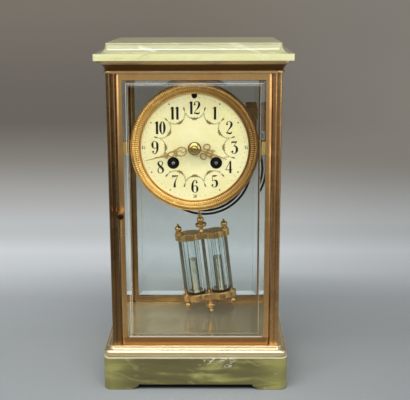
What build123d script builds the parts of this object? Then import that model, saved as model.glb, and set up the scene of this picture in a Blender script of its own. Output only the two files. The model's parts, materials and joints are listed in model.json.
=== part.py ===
"""Four-glass mantel clock: an onyx and brass case, a striking movement and a two-vial pendulum.

Frame: millimetres, +Z up, the front faces -Y, the origin is at the middle of the underside.
"""

import os
from math import atan2, cos, degrees, hypot, pi, radians, sin, sqrt

from build123d import *

os.makedirs("parts", exist_ok=True)

# Plinth of onyx, standing on four corner feet
PLINTH_W = 148.0
PLINTH_D = 123.0
PLINTH_H = 27.5
PLINTH_CORNER_R = 6.0
PLINTH_EDGE_R = 0.9
FOOT_W = 22.0
FOOT_SLOPE = 6.0
FOOT_GAP_H = 4.6
FOOT_STEP_H = 1.4

# Brass base moulding, from the onyx up: fillet, torus, neck, ovolo
BASE_FILLET_INSET = 3.0
BASE_FILLET_H = 0.7
TORUS_IN = 0.1
TORUS_H = 5.6
TORUS_R = 2.7
SLOPE_LOW_IN = 2.6
SLOPE_TOP_IN = 3.9
SLOPE_H = 1.1
BEAD_IN = 3.7
BEAD_H = 1.4
BEAD_R = 0.6
MOULD_CORNER_R = 6.5
CORNICE_CORNER_R = 5.0
FLOOR_INSET = 8.0
FLOOR_T = 2.0
FLOOR_LEDGE = 6.0

# Corner posts, reeded, with the four frames between them
POST_IN_X = 7.2
POST_IN_Y = 7.25
POST_SIZE = 7.0
REED_R = 1.75
REED_GROOVE = 0.8
POST_H = 217.2

# Door and side frames
FRAME_BAR = 5.0
FRAME_T = 5.0
FRAME_GAP = 0.2
SIDE_INSET = 0.4
LIP_DEPTH = 1.6
GLASS_T = 3.0
GLASS_EDGE_T = 1.3
GLASS_BEVEL = 5.4
GLASS_EASE = 0.1

# Hinges and latches of the two doors
HINGE_PIN_R = 0.9
HINGE_PIN_LEN = 5.0
HINGE_PIN_SET = 3.0
LATCH_SPINDLE_R = 0.8
LATCH_COLLAR_R = 2.5
LATCH_COLLAR_T = 0.7
LATCH_KNOB_R = 2.7
LATCH_KNOB_LEN = 8.4
LATCH_NECK_R = 2.0
LATCH_NECK_LEN = 1.4
LATCH_TONGUE_L = 5.4
LATCH_TONGUE_W = 3.2
LATCH_TONGUE_T = 1.1
LATCH_STAND_OFF = 3.3

# Cornice of brass, from the posts up: fillet, neck, flare in two slopes, then a cap under the onyx
CORNICE_FILLET_OUT = 1.7
CORNICE_FILLET_H = 1.4
CORNICE_NECK_H = 1.2
FLARE_IN = 2.0
FLARE_H = 5.6
FLARE_SHARES = (0.36, 0.64)
CAP_IN = 1.3
CAP_H = 1.5
CORNICE_RING = 16.0

# Onyx top: a square-edged slab, a cove and a raised flat
SLAB_OUT = 1.0
SLAB_H = 5.0
SLAB_CORNER_R = 2.2
PLATEAU_IN = 7.5
PLATEAU_H = 7.8
PLATEAU_CORNER_R = 3.2
TOP_COVE_RISE = 6.4
TOP_EDGE_R = 0.6

# Tie screws through the plinth, the posts and the cornice
TIE_R = 1.5
TIE_HEAD_R = 3.4
TIE_HEAD_H = 2.6
TIE_HEAD_SINK = 7.0
NUT_SIDES = 6
TIE_NUT_R = 3.1
TIE_NUT_H = 2.4
TIE_POCKET_R = 4.0
TIE_POCKET_H = 3.6
SLOT_W = 0.8
SLOT_DEPTH = 0.8

# Dial and bezel
DIAL_Z = 195.0
DIAL_FACE_OUT = 6.8
DIAL_T = 1.5
DIAL_R = 44.6
DIAL_SHOW_R = 42.0
DIAL_BORE_R = 4.0
WIND_X = 16.8
WIND_DROP = 12.2
WIND_HOLE_R = 4.4
REG_RISE = 40.5
REG_HOLE_R = 2.0
BEZEL_R = 50.3
BEZEL_LIP = 1.0
BEZEL_CREST = 3.8
BEZEL_SEAT = 4.2
BEZEL_BACK = 10.0
BEZEL_BAND_T = 1.4
NOTCH_EASE = 0.3

# Movement plates
PLATE_R = 44.0
PLATE_T = 2.0
PLATE_SET_BACK = 20.25
PLATE_SPACE = 37.0
PILLAR_RING_R = 39.0
PILLAR_DEGS = (35.0, 145.0, 240.0, 300.0)
PILLAR_R = 2.6
PILLAR_COLLAR_R = 3.4
PILLAR_COLLAR_T = 2.0
PLATE_SCREW_R = 1.2
PLATE_SCREW_HEAD_R = 2.4
PLATE_SCREW_HEAD_H = 1.4
PLATE_SCREW_SET = 5.0

# Side brackets that carry the movement
BRACKET_H = 10.0
BRACKET_T = 1.5
BRACKET_FRONT_OUT = 12.0
BRACKET_FLANGE_L = 10.0
BRACKET_LEG_GAP = 0.6
BRACKET_FOOT_IN = 38.2
BRACKET_SCREW_R = 1.1
BRACKET_SCREW_HEAD_R = 2.1
BRACKET_SCREW_HEAD_H = 1.1

# Running fits
PIVOT_EASE = 0.05
SET_EASE = 0.02
OVERRUN = 1.0

# Train wheels: modules and tooth counts
BARREL_MODULE = 0.38
BARREL_TEETH = 84
BARREL_PINION_TEETH = 12
CENTRE_MODULE = 0.36
INTERMEDIATE_TEETH = 70
CENTRE_PINION_TEETH = 10
FINE_MODULE = 0.30
CENTRE_TEETH = 84
THIRD_PINION_TEETH = 7
THIRD_MODULE = 0.28
THIRD_TEETH = 77
ESCAPE_PINION_TEETH = 7
STRIKE_TEETH = 60
PIN_PINION_TEETH = 8
PIN_TEETH = 60
WARNING_PINION_TEETH = 7
WARNING_TEETH = 56
FLY_PINION_TEETH = 7
CANNON_MODULE = 0.50
CANNON_TEETH = 12
MINUTE_TEETH = 36
HOUR_MODULE = 0.48
MINUTE_PINION_TEETH = 10
HOUR_TEETH = 40

# Tooth form, as shares of the module or of the pitch
ADDENDUM_SHARE = 0.62
DEDENDUM_SHARE = 1.05
WHEEL_TOOTH_SHARE = 0.40
LEAF_SHARE = 0.32
TIP_SHARE = 0.46

# Arbors and wheel webs
ARBOR_R = 0.7
PIVOT_R = 0.5
WHEEL_T = 1.2
WEB_RIM = 1.6
HUB_SHARE = 0.26
SPOKE_W = 1.5
SPOKE_COUNT = 4
BARREL_R = 14.4
BARREL_SET = 4.5
BARREL_DRUM_L = 16.0
BARREL_FLANGE_T = 1.5
WIND_ARBOR_R = 2.4
WIND_SQUARE = 3.3
WIND_TIP_OUT = 7.6
RATCHET_R = 6.4
RATCHET_TEETH = 24
RATCHET_DEPTH = 0.9
RATCHET_T = 1.3
ESCAPE_TEETH = 36
ESCAPE_TIP_R = 7.0
ESCAPE_ROOT_R = 5.9
ESCAPE_Z_RISE = 23.0
ANCHOR_RISE = 33.0
ANCHOR_SPAN = 5.6
ANCHOR_BAR = 1.8
ANCHOR_ARCH = 1.5
ANCHOR_HUB_R = 2.0
ANCHOR_NIB_GAP = 0.9
ANCHOR_T = 1.6
FLY_W = 13.0
FLY_L = 9.0
FLY_T = 0.6
CENTRE_ARBOR_R = 1.2
CANNON_PIPE_R = 2.0
HOUR_PIPE_R = 3.0
HAND_BOSS_R = 4.4
HAND_T = 0.7

# Levels of the wheels along Y
INTERMEDIATE_SET = 23.6
CENTRE_WHEEL_SET = 27.0
THIRD_WHEEL_SET = 30.2
ESCAPE_WHEEL_SET = 33.1
STRIKE_WHEEL_SET = 23.6
PIN_WHEEL_SET = 27.0
WARNING_WHEEL_SET = 33.1
FLY_SET = 10.0
MINUTE_WHEEL_OUT = 1.9
HOUR_WHEEL_OUT = 4.3
MOTION_T = 0.9

# Where the arbors stand, as angles seen from the front
STRIKE_INTERMEDIATE_DEG = 60.0
PIN_WHEEL_DEG = 100.0
WARNING_DEG = 110.0
FLY_DEG = 135.0

# Hands, pointing at about 3:42
MINUTE_DEG = 255.7
HOUR_DEG = 111.3
MINUTE_HAND_L = 40.8
HOUR_HAND_L = 27.0
MINUTE_HAND_OUT = 11.6
HOUR_HAND_OUT = 9.8
MINUTE_LOOP_R = 2.4
HOUR_LOOP_R = 3.2
HAND_BAR_W = 1.5
HAND_TIP_W = 0.5
HAND_NUT_R = 4.7
HAND_NUT_H = 1.2

# Suspension, leader rod and crutch
PENDULUM_SET = 10.0
COCK_W = 26.0
COCK_LEG_W = 3.4
COCK_PLATE_SET = 6.0
COCK_PLATE_T = 2.0
COCK_LOW_DROP = 6.0
COCK_LEG_RISE = 7.0
COCK_TOP_RISE = 13.0
SUSPENSION_ARM_W = 9.0
SUSPENSION_ARM_H = 4.0
SUSPENSION_ARM_L = 5.6
SPRING_T = 0.3
SPRING_W = 3.4
CHOP_W = 5.0
CHOP_H = 4.0
LEADER_W = 2.6
LEADER_T = 1.6
LEADER_DEG = 1.3
HOOK_Z = 132.5
CRUTCH_SET = 3.6
CRUTCH_T = 1.2
CRUTCH_W = 2.4
CRUTCH_LEN = 27.0
CRUTCH_PIN_R = 0.7
CRUTCH_EASE = 0.12
CRUTCH_REACH = 15.2

# Bob, hung askew as it stands; distances run down its own axis from the hook
BOB_DEG = 6.6
BOB_TOP = 19.6
BOB_PLATE_T = 5.6
BOB_BOTTOM = 74.6
BOB_LOBE_X = 10.7
BOB_LOBE_R = 9.2
BOB_WAIST_D = 13.6
BOB_END_X = 18.9
BOB_END_R = 4.6
BOB_EDGE_R = 0.5
BOB_ROD_X = 19.8
BOB_ROD_R = 1.5
BOB_STEM_R = 1.7
VIAL_R = 7.3
VIAL_BORE_R = 6.3
VIAL_SEAT_H = 2.2
VIAL_SEAT_R = 7.9
COLUMN_R = 3.9
COLUMN_TOP = 43.0
FINIAL_COLLAR_R = 3.2
FINIAL_COLLAR_H = 1.2
FINIAL_NECK_R = 1.5
FINIAL_NECK_H = 1.6
FINIAL_BALL_R = 3.0
FINIAL_TIP_R = 1.0
FINIAL_TIP_H = 1.3
NUT_TOP = 83.6
NUT_COLLAR_R = 3.3
NUT_COLLAR_H = 1.2
NUT_R = 4.8
NUT_H = 3.0
NUT_EDGE_R = 1.1
STUD_END = 92.0
STUD_BALL_R = 2.2
STEM_BALL = 9.4
STEM_BALL_R = 3.1
STEM_DISC = 12.1
STEM_DISC_R = 4.9
STEM_DISC_H = 3.0
STEM_DISC_EDGE_R = 1.2
STEM_FOOT_R = 2.6
STEM_FOOT_H = 2.0
EYE_R = 2.4
EYE_BAR = 1.0
EYE_HANG = 0.9

# Gong: a flat coil of wire on a stand behind the movement
GONG_SET = 27.0
GONG_X = 6.5
GONG_Z = 164.7
GONG_R = 40.5
GONG_PITCH = 3.2
GONG_WIRE_R = 1.0
GONG_HALF_TURNS = 8
GONG_BLOCK_W = 9.0
GONG_BLOCK_H = 24.0
GONG_BLOCK_Z = 198.0
GONG_BLOCK_D = 9.0
GONG_FOOT_T = 2.4
GONG_FOOT_IN = 35.2
GONG_FOOT_LOW = 16.0
GONG_FOOT_H = 10.0
GONG_SOCKET = 6.0
GONG_ARM_W = 5.0

# Hammer
HAMMER_X = 36.0
HAMMER_RISE = 12.0
HAMMER_ARM_SET = 4.0
HAMMER_ARM_W = 2.0
HAMMER_HEAD_X = 42.2
HAMMER_HEAD_Z = 193.0
HAMMER_HEAD_R = 2.2
HAMMER_HEAD_L = 5.0
HAMMER_ROD_R = 0.8
HAMMER_TAIL_OUT = 11.7
HAMMER_TAIL_T = 1.2
HAMMER_TAIL_GAP = 0.6
PIN_CIRCLE_R = 6.6
PIN_R = 0.4
PIN_L = 1.9
PIN_COUNT = 10

# Regulator arbor above the twelve
REG_R = 1.0
REG_SQUARE = 1.6
REG_TIP_OUT = 7.4

# Feet of the dial, studs and holes in the plates
DIAL_FOOT_R = 1.2
DIAL_FOOT_RING = 31.0
DIAL_FOOT_START = 30.0
DIAL_FOOT_COUNT = 3
STUD_R = 0.9
STUD_TIP_OUT = 4.9
ANCHOR_HOLE_R = 1.6
WIND_BACK_R = 1.6
BRACKET_HOLE_X = 41.0
GONG_SCREW = (37.4, 18.6)
COCK_SCREW_RISE = 34.0
END_SHAKE = 0.1
PINION_OVERHANG = 0.5

# Rings of a hand as shares of its length, and points on a half turn of the gong
HAND_LOOP_SHARES = (0.32, 0.56)
SAMPLES = 36

# Widths of the case's layers, worked out from the plinth
TORUS_W = PLINTH_W - 2 * TORUS_IN
SLOPE_W = PLINTH_W - 2 * SLOPE_LOW_IN
BEAD_W = PLINTH_W - 2 * BEAD_IN
FLARE_W = PLINTH_W - 2 * FLARE_IN
CAP_W = PLINTH_W - 2 * CAP_IN
POST_OUT_W = PLINTH_W - 2 * POST_IN_X
POST_OUT_D = PLINTH_D - 2 * POST_IN_Y
SLAB_W = PLINTH_W + 2 * SLAB_OUT
SLAB_D = PLINTH_D + 2 * SLAB_OUT
PLATEAU_W = PLINTH_W - 2 * PLATEAU_IN
PLATEAU_D = PLINTH_D - 2 * PLATEAU_IN

# Depth levels, worked out from the front door and the two plates
FRONT_PLATE_Y = PLATE_SET_BACK - POST_OUT_D / 2
BACK_PLATE_Y = FRONT_PLATE_Y + PLATE_SPACE
DIAL_FACE_Y = FRONT_PLATE_Y - DIAL_FACE_OUT
BRACKET_FRONT_Y = FRONT_PLATE_Y - BRACKET_FRONT_OUT
BRACKET_FOOT_Y = FRONT_PLATE_Y - BRACKET_T
BARREL_Y = FRONT_PLATE_Y + BARREL_SET
WIND_TIP_Y = FRONT_PLATE_Y - WIND_TIP_OUT
INTERMEDIATE_Y = FRONT_PLATE_Y + INTERMEDIATE_SET
CENTRE_WHEEL_Y = FRONT_PLATE_Y + CENTRE_WHEEL_SET
THIRD_WHEEL_Y = FRONT_PLATE_Y + THIRD_WHEEL_SET
ESCAPE_WHEEL_Y = FRONT_PLATE_Y + ESCAPE_WHEEL_SET
STRIKE_WHEEL_Y = FRONT_PLATE_Y + STRIKE_WHEEL_SET
PIN_WHEEL_Y = FRONT_PLATE_Y + PIN_WHEEL_SET
WARNING_WHEEL_Y = FRONT_PLATE_Y + WARNING_WHEEL_SET
FLY_Y = FRONT_PLATE_Y + FLY_SET
MINUTE_WHEEL_Y = FRONT_PLATE_Y - MINUTE_WHEEL_OUT
HOUR_WHEEL_Y = FRONT_PLATE_Y - HOUR_WHEEL_OUT
MINUTE_HAND_Y = FRONT_PLATE_Y - MINUTE_HAND_OUT
HOUR_HAND_Y = FRONT_PLATE_Y - HOUR_HAND_OUT
STUD_TIP_Y = FRONT_PLATE_Y - STUD_TIP_OUT
REG_TIP_Y = FRONT_PLATE_Y - REG_TIP_OUT
PENDULUM_Y = BACK_PLATE_Y + PENDULUM_SET
COCK_PLATE_Y = BACK_PLATE_Y + COCK_PLATE_SET
CRUTCH_Y = BACK_PLATE_Y + CRUTCH_SET
GONG_Y = BACK_PLATE_Y + GONG_SET
HAMMER_ARM_Y = BACK_PLATE_Y + HAMMER_ARM_SET
HAMMER_TAIL_Y = BACK_PLATE_Y - HAMMER_TAIL_OUT

# Heights worked out from the sizes above
MOULD_H = BASE_FILLET_H + TORUS_H + SLOPE_H + BEAD_H
FLOOR_Z = PLINTH_H + MOULD_H
CORNICE_Z = FLOOR_Z + POST_H
CORNICE_H = CORNICE_FILLET_H + CORNICE_NECK_H + FLARE_H + CAP_H
SLAB_Z = CORNICE_Z + CORNICE_H
POST_X = POST_OUT_W / 2 - POST_SIZE / 2
POST_Y = POST_OUT_D / 2 - POST_SIZE / 2
OPEN_X = POST_OUT_W / 2 - POST_SIZE
OPEN_Y = POST_OUT_D / 2 - POST_SIZE
DOOR_W = 2 * (OPEN_X - FRAME_GAP)
SIDE_W = 2 * OPEN_Y
FRAME_H = POST_H - 2 * FRAME_GAP
FRAME_MID_Z = FLOOR_Z + POST_H / 2
DOOR_OUT_Y = POST_OUT_D / 2
DOOR_MID_Y = DOOR_OUT_Y - FRAME_T / 2
SIDE_OUT_X = POST_OUT_W / 2 - SIDE_INSET
HINGE_X = DOOR_W / 2 - FRAME_T / 2
LATCH_X = DOOR_W / 2 - FRAME_BAR / 2

# Arbor places as (x, rise above the dial centre)
CENTRE = (0.0, 0.0)
TIME_BARREL = (-WIND_X, -WIND_DROP)
STRIKE_BARREL = (WIND_X, -WIND_DROP)


def gear_distance(module, wheel_teeth, pinion_teeth):
    """Centre distance of a wheel and its pinion."""
    return module * (wheel_teeth + pinion_teeth) / 2


def step_from(point, distance, angle):
    """The point at a distance and an angle, in degrees, from another."""
    return (point[0] + distance * cos(radians(angle)), point[1] + distance * sin(radians(angle)))


def between(first, first_distance, second, second_distance, side):
    """The point at given distances from two others, left (+1) or right (-1) of the line joining them."""
    span = hypot(second[0] - first[0], second[1] - first[1])
    along = (first_distance**2 - second_distance**2 + span**2) / (2 * span)
    across = sqrt(first_distance**2 - along**2) * side
    unit = ((second[0] - first[0]) / span, (second[1] - first[1]) / span)
    return (first[0] + along * unit[0] - across * unit[1], first[1] + along * unit[1] + across * unit[0])


BARREL_REACH = gear_distance(BARREL_MODULE, BARREL_TEETH, BARREL_PINION_TEETH)
INTERMEDIATE = between(
    CENTRE,
    gear_distance(CENTRE_MODULE, INTERMEDIATE_TEETH, CENTRE_PINION_TEETH),
    TIME_BARREL,
    BARREL_REACH,
    -1,
)
ESCAPE = (0.0, ESCAPE_Z_RISE)
ANCHOR = (0.0, ANCHOR_RISE)
THIRD = between(
    CENTRE,
    gear_distance(FINE_MODULE, CENTRE_TEETH, THIRD_PINION_TEETH),
    ESCAPE,
    gear_distance(THIRD_MODULE, THIRD_TEETH, ESCAPE_PINION_TEETH),
    -1,
)
STRIKE_INTERMEDIATE = step_from(STRIKE_BARREL, BARREL_REACH, STRIKE_INTERMEDIATE_DEG)
PIN_WHEEL = step_from(
    STRIKE_INTERMEDIATE, gear_distance(FINE_MODULE, STRIKE_TEETH, PIN_PINION_TEETH), PIN_WHEEL_DEG
)
WARNING = step_from(PIN_WHEEL, gear_distance(THIRD_MODULE, PIN_TEETH, WARNING_PINION_TEETH), WARNING_DEG)
FLY = step_from(WARNING, gear_distance(THIRD_MODULE, WARNING_TEETH, FLY_PINION_TEETH), FLY_DEG)
MINUTE_WHEEL = (0.0, gear_distance(CANNON_MODULE, MINUTE_TEETH, CANNON_TEETH))
HAMMER = (HAMMER_X, HAMMER_RISE)
REGULATOR = (0.0, REG_RISE)
PIVOTS = (
    INTERMEDIATE, THIRD, ESCAPE, STRIKE_INTERMEDIATE, PIN_WHEEL, WARNING, FLY,
)


def facing(y, place=CENTRE):
    """A drawing plane square to Y, seen from the front: x to the right, y up, growing backwards from y."""
    return Plane(origin=(place[0], y, DIAL_Z + place[1]), x_dir=(1, 0, 0), z_dir=(0, -1, 0))


def keep(piece, name):
    """Label a finished piece and write it out."""
    piece.label = name
    export_step(piece, f"parts/{name}.step")


def tooth_outline(module, teeth, tooth_share, phase):
    """Corner points of a gear outline, its first tooth centred at the phase in degrees."""
    pitch_r = module * teeth / 2
    tip_r = pitch_r + ADDENDUM_SHARE * module
    root_r = pitch_r - DEDENDUM_SHARE * module
    pitch = 2 * pi / teeth
    half_root = pitch * tooth_share / 2 * (1 + (1 - TIP_SHARE) * DEDENDUM_SHARE)
    half_tip = pitch * tooth_share / 2 * TIP_SHARE
    half_root = min(half_root, pitch * (1 + tooth_share) / 4)
    points = []
    for tooth in range(teeth):
        middle = radians(phase) + tooth * pitch
        for radius, angle in (
            (root_r, middle - half_root), (tip_r, middle - half_tip), (tip_r, middle + half_tip),
            (root_r, middle + half_root),
        ):
            points.append((radius * cos(angle), radius * sin(angle)))
    return points


def mesh_angle(wheel, pinion):
    """Direction from a wheel's centre to its pinion's, in degrees."""
    return degrees(atan2(pinion[1] - wheel[1], pinion[0] - wheel[0]))


def leaf_phase(wheel, pinion, leaves):
    """Phase that puts a space of the pinion where the wheel's tooth comes."""
    return mesh_angle(wheel, pinion) + 180 + 180 / leaves


def wheel_solid(place, y, thickness, module, teeth, phase, crossed=True):
    """A toothed wheel with its rim crossed out to spokes, growing backwards from y."""
    with BuildPart() as wheel:
        with BuildSketch(facing(y, place)):
            with BuildLine():
                Polyline(*tooth_outline(module, teeth, WHEEL_TOOTH_SHARE, phase), close=True)
            make_face()
            if crossed:
                rim_r = module * teeth / 2 - DEDENDUM_SHARE * module - WEB_RIM
                Circle(rim_r, mode=Mode.SUBTRACT)
                Circle(rim_r * HUB_SHARE)
                with PolarLocations(rim_r / 2, SPOKE_COUNT):
                    Rectangle(rim_r + WEB_RIM, SPOKE_W)
        extrude(amount=-thickness)
    return wheel.part


def pinion_solid(place, y, length, module, leaves, phase):
    """A solid pinion, growing backwards from y."""
    with BuildPart() as pinion:
        with BuildSketch(facing(y, place)):
            with BuildLine():
                Polyline(*tooth_outline(module, leaves, LEAF_SHARE, phase), close=True)
            make_face()
        extrude(amount=-length)
    return pinion.part


def round_bar(place, front, back, radius):
    """A round bar along Y between two levels."""
    with BuildPart() as bar:
        with BuildSketch(facing(front, place)):
            Circle(radius)
        extrude(amount=front - back)
    return bar.part


def square_bar(place, front, back, side):
    """A square bar along Y between two levels."""
    with BuildPart() as bar:
        with BuildSketch(facing(front, place)):
            Rectangle(side, side)
        extrude(amount=front - back)
    return bar.part


def train_arbor(name, place, gears):
    """One arbor of the trains: a spindle with pivots in both plates, and its fixed gears."""
    with BuildPart() as arbor:
        add(round_bar(place, PLATE_INNER_FRONT + END_SHAKE, BACK_PLATE_Y - END_SHAKE, ARBOR_R))
        add(round_bar(place, FRONT_PLATE_Y, BACK_PLATE_Y + PLATE_T, PIVOT_R))
        for gear in gears:
            add(gear)
    keep(arbor.part, name)


def disc_at(y, thickness, radius, place=CENTRE):
    """A round disc that grows backwards from y."""
    return round_bar(place, y, y + thickness, radius)


PLATE_INNER_FRONT = FRONT_PLATE_Y + PLATE_T
BARREL_WHEEL_Y = BARREL_Y + BARREL_DRUM_L
CASE_SLIM = PLINTH_W - PLINTH_D
MIN_ALIGN = (Align.CENTER, Align.CENTER, Align.MIN)
MAX_ALIGN = (Align.CENTER, Align.CENTER, Align.MAX)


def slab_layer(width, height, z, corner_r):
    """A flat layer of the case, as much less deep than wide as the plinth is."""
    with BuildPart() as layer:
        with BuildSketch(Plane.XY.offset(z)):
            RectangleRounded(width, width - CASE_SLIM, corner_r)
        extrude(amount=height)
    return layer.part


def loop_edges(piece, z, width, depth):
    """Edges of a piece at one height that lie within a width and a depth."""
    level = piece.edges().filter_by_position(Axis.Z, z - SET_EASE, z + SET_EASE)
    return level.filter_by(
        lambda edge: abs(edge.center().X) < width / 2 + SET_EASE
        and abs(edge.center().Y) < depth / 2 + SET_EASE
    )


CORNERS = [(sx, sy) for sx in (-1, 1) for sy in (-1, 1)]
TIE_PLACES = [(sx * POST_X, sy * POST_Y) for sx, sy in CORNERS]

# Plinth: a block with rounded corners, cut away below between four feet
with BuildPart() as plinth:
    with BuildSketch():
        RectangleRounded(PLINTH_W, PLINTH_D, PLINTH_CORNER_R)
    extrude(amount=PLINTH_H)
    fillet(plinth.faces().sort_by(Axis.Z)[-1].edges(), PLINTH_EDGE_R)
    for plane, width, depth in ((Plane.XZ, PLINTH_W, PLINTH_D), (Plane.YZ, PLINTH_D, PLINTH_W)):
        with BuildSketch(plane):
            with BuildLine():
                half = width / 2 - FOOT_W
                Polyline(
                    (-half, 0),
                    (-half + FOOT_SLOPE, FOOT_GAP_H - FOOT_STEP_H),
                    (-half + FOOT_SLOPE, FOOT_GAP_H),
                    (half - FOOT_SLOPE, FOOT_GAP_H),
                    (half - FOOT_SLOPE, FOOT_GAP_H - FOOT_STEP_H),
                    (half, 0),
                    close=True,
                )
            make_face()
        extrude(amount=depth, both=True, mode=Mode.SUBTRACT)
    with Locations(*[(x, y, 0) for x, y in TIE_PLACES]):
        Cylinder(
            TIE_R + PIVOT_EASE, PLINTH_H, align=MIN_ALIGN, mode=Mode.SUBTRACT
        )
        Cylinder(
            TIE_POCKET_R, TIE_HEAD_SINK, align=MIN_ALIGN, mode=Mode.SUBTRACT
        )
keep(plinth.part, "onyx_plinth")

# Base moulding: a brass ring of fillet, torus, slope and bead, rebated for the floor plate
TORUS_Z = PLINTH_H + BASE_FILLET_H
SLOPE_Z = TORUS_Z + TORUS_H
SLOPE_DEG = degrees(atan2(SLOPE_TOP_IN - SLOPE_LOW_IN, SLOPE_H))
FLOOR_W = POST_OUT_W - 2 * FLOOR_INSET
with BuildPart() as base:
    add(slab_layer(TORUS_W, TORUS_H, TORUS_Z, MOULD_CORNER_R))
    fillet(base.faces().filter_by(Axis.Z).edges(), TORUS_R)
    add(slab_layer(TORUS_W - 2 * BASE_FILLET_INSET, BASE_FILLET_H + TORUS_H / 2, PLINTH_H, MOULD_CORNER_R))
    add(slab_layer(SLOPE_W, TORUS_H / 2, SLOPE_Z - TORUS_H / 2, MOULD_CORNER_R))
    with BuildSketch(Plane.XY.offset(SLOPE_Z)):
        RectangleRounded(SLOPE_W, SLOPE_W - CASE_SLIM, MOULD_CORNER_R)
    extrude(amount=SLOPE_H, taper=SLOPE_DEG)
    add(slab_layer(BEAD_W, BEAD_H, SLOPE_Z + SLOPE_H, MOULD_CORNER_R - BEAD_IN + SLOPE_LOW_IN))
    fillet(base.faces().sort_by(Axis.Z)[-1].edges(), BEAD_R)
    with BuildSketch(Plane.XY.offset(FLOOR_Z)):
        Rectangle(FLOOR_W, FLOOR_W - CASE_SLIM)
    extrude(amount=-FLOOR_T, mode=Mode.SUBTRACT)
    with BuildSketch(Plane.XY.offset(FLOOR_Z)):
        Rectangle(FLOOR_W - 2 * FLOOR_LEDGE, FLOOR_W - 2 * FLOOR_LEDGE - CASE_SLIM)
    extrude(amount=-MOULD_H, mode=Mode.SUBTRACT)
    with Locations(*[(x, y, PLINTH_H) for x, y in TIE_PLACES]):
        Cylinder(TIE_R + PIVOT_EASE, MOULD_H, align=MIN_ALIGN, mode=Mode.SUBTRACT)
    with Locations((HINGE_X, -DOOR_MID_Y, FLOOR_Z), (-HINGE_X, DOOR_MID_Y, FLOOR_Z)):
        Cylinder(
            HINGE_PIN_R + SET_EASE, HINGE_PIN_SET, align=MAX_ALIGN,
            mode=Mode.SUBTRACT,
        )
keep(base.part, "base_moulding")

# Floor plate, flush with the top of the moulding
with BuildPart() as floor_plate:
    with BuildSketch(Plane.XY.offset(FLOOR_Z - FLOOR_T)):
        Rectangle(FLOOR_W - 2 * SET_EASE, FLOOR_W - CASE_SLIM - 2 * SET_EASE)
    extrude(amount=FLOOR_T)
keep(floor_plate.part, "floor_plate")

# Corner posts: three reeds round the outer corner of a square bar
POST_NAMES = {(-1, -1): "front_left", (1, -1): "front_right", (-1, 1): "back_left", (1, 1): "back_right"}
REED_OUT = POST_SIZE / 2 - REED_R
CORE = POST_SIZE - REED_GROOVE
for sx, sy in CORNERS:
    with BuildPart() as post:
        with BuildSketch(Plane(origin=(sx * POST_X, sy * POST_Y, FLOOR_Z))):
            with Locations((-sx * REED_GROOVE / 2, -sy * REED_GROOVE / 2)):
                Rectangle(CORE, CORE)
            with Locations(
                (sx * REED_OUT, sy * REED_OUT),
                (-sx * REED_OUT, sy * REED_OUT),
                (sx * REED_OUT, -sy * REED_OUT),
            ):
                Circle(REED_R)
            Circle(TIE_R + PIVOT_EASE, mode=Mode.SUBTRACT)
        extrude(amount=POST_H)
    keep(post.part, f"post_{POST_NAMES[(sx, sy)]}")

# Cornice: fillet, neck, flare and cap, as a ring
CORNICE_FILLET_W = POST_OUT_W + 2 * CORNICE_FILLET_OUT
NECK_W = POST_OUT_W + CORNICE_FILLET_OUT
FLARE_Z = CORNICE_Z + CORNICE_FILLET_H + CORNICE_NECK_H
FLARE_STEP = FLARE_H / len(FLARE_SHARES)
with BuildPart() as cornice:
    add(slab_layer(CORNICE_FILLET_W, CORNICE_FILLET_H, CORNICE_Z, CORNICE_CORNER_R))
    add(slab_layer(NECK_W, CORNICE_NECK_H, CORNICE_Z + CORNICE_FILLET_H, CORNICE_CORNER_R))
    for step, share in enumerate(FLARE_SHARES):
        out = (FLARE_W - NECK_W) / 2 * sum(FLARE_SHARES[:step])
        run = (FLARE_W - NECK_W) / 2 * share
        with BuildSketch(Plane.XY.offset(FLARE_Z + step * FLARE_STEP)):
            RectangleRounded(NECK_W + 2 * out, NECK_W + 2 * out - CASE_SLIM, CORNICE_CORNER_R + out)
        extrude(amount=FLARE_STEP, taper=-degrees(atan2(run, FLARE_STEP)))
    add(slab_layer(CAP_W, CAP_H, FLARE_Z + FLARE_H, CORNICE_CORNER_R))
    with BuildSketch(Plane.XY.offset(CORNICE_Z)):
        Rectangle(POST_OUT_W - 2 * CORNICE_RING, POST_OUT_W - 2 * CORNICE_RING - CASE_SLIM)
    extrude(amount=CORNICE_H, mode=Mode.SUBTRACT)
    with Locations(*[(x, y, CORNICE_Z) for x, y in TIE_PLACES]):
        Cylinder(
            TIE_R + PIVOT_EASE, CORNICE_H, align=MIN_ALIGN, mode=Mode.SUBTRACT
        )
    with Locations((HINGE_X, -DOOR_MID_Y, CORNICE_Z), (-HINGE_X, DOOR_MID_Y, CORNICE_Z)):
        Cylinder(
            HINGE_PIN_R + SET_EASE, HINGE_PIN_SET, align=MIN_ALIGN,
            mode=Mode.SUBTRACT,
        )
keep(cornice.part, "cornice")

# Onyx top: slab, cove and raised flat, with pockets underneath for the tie nuts
PLATEAU_Z = SLAB_Z + SLAB_H
with BuildPart() as onyx_top:
    with BuildSketch(Plane.XY.offset(SLAB_Z)):
        RectangleRounded(SLAB_W, SLAB_D, SLAB_CORNER_R)
    extrude(amount=SLAB_H)
    with BuildSketch(Plane.XY.offset(PLATEAU_Z)):
        RectangleRounded(PLATEAU_W, PLATEAU_D, PLATEAU_CORNER_R)
    extrude(amount=PLATEAU_H)
    fillet(loop_edges(onyx_top, PLATEAU_Z, PLATEAU_W, PLATEAU_D), TOP_COVE_RISE)
    fillet(onyx_top.faces().sort_by(Axis.Z)[-1].edges(), TOP_EDGE_R)
    with Locations(*[(x, y, SLAB_Z) for x, y in TIE_PLACES]):
        Cylinder(
            TIE_POCKET_R, TIE_POCKET_H, align=MIN_ALIGN, mode=Mode.SUBTRACT
        )
keep(onyx_top.part, "onyx_top")

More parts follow.
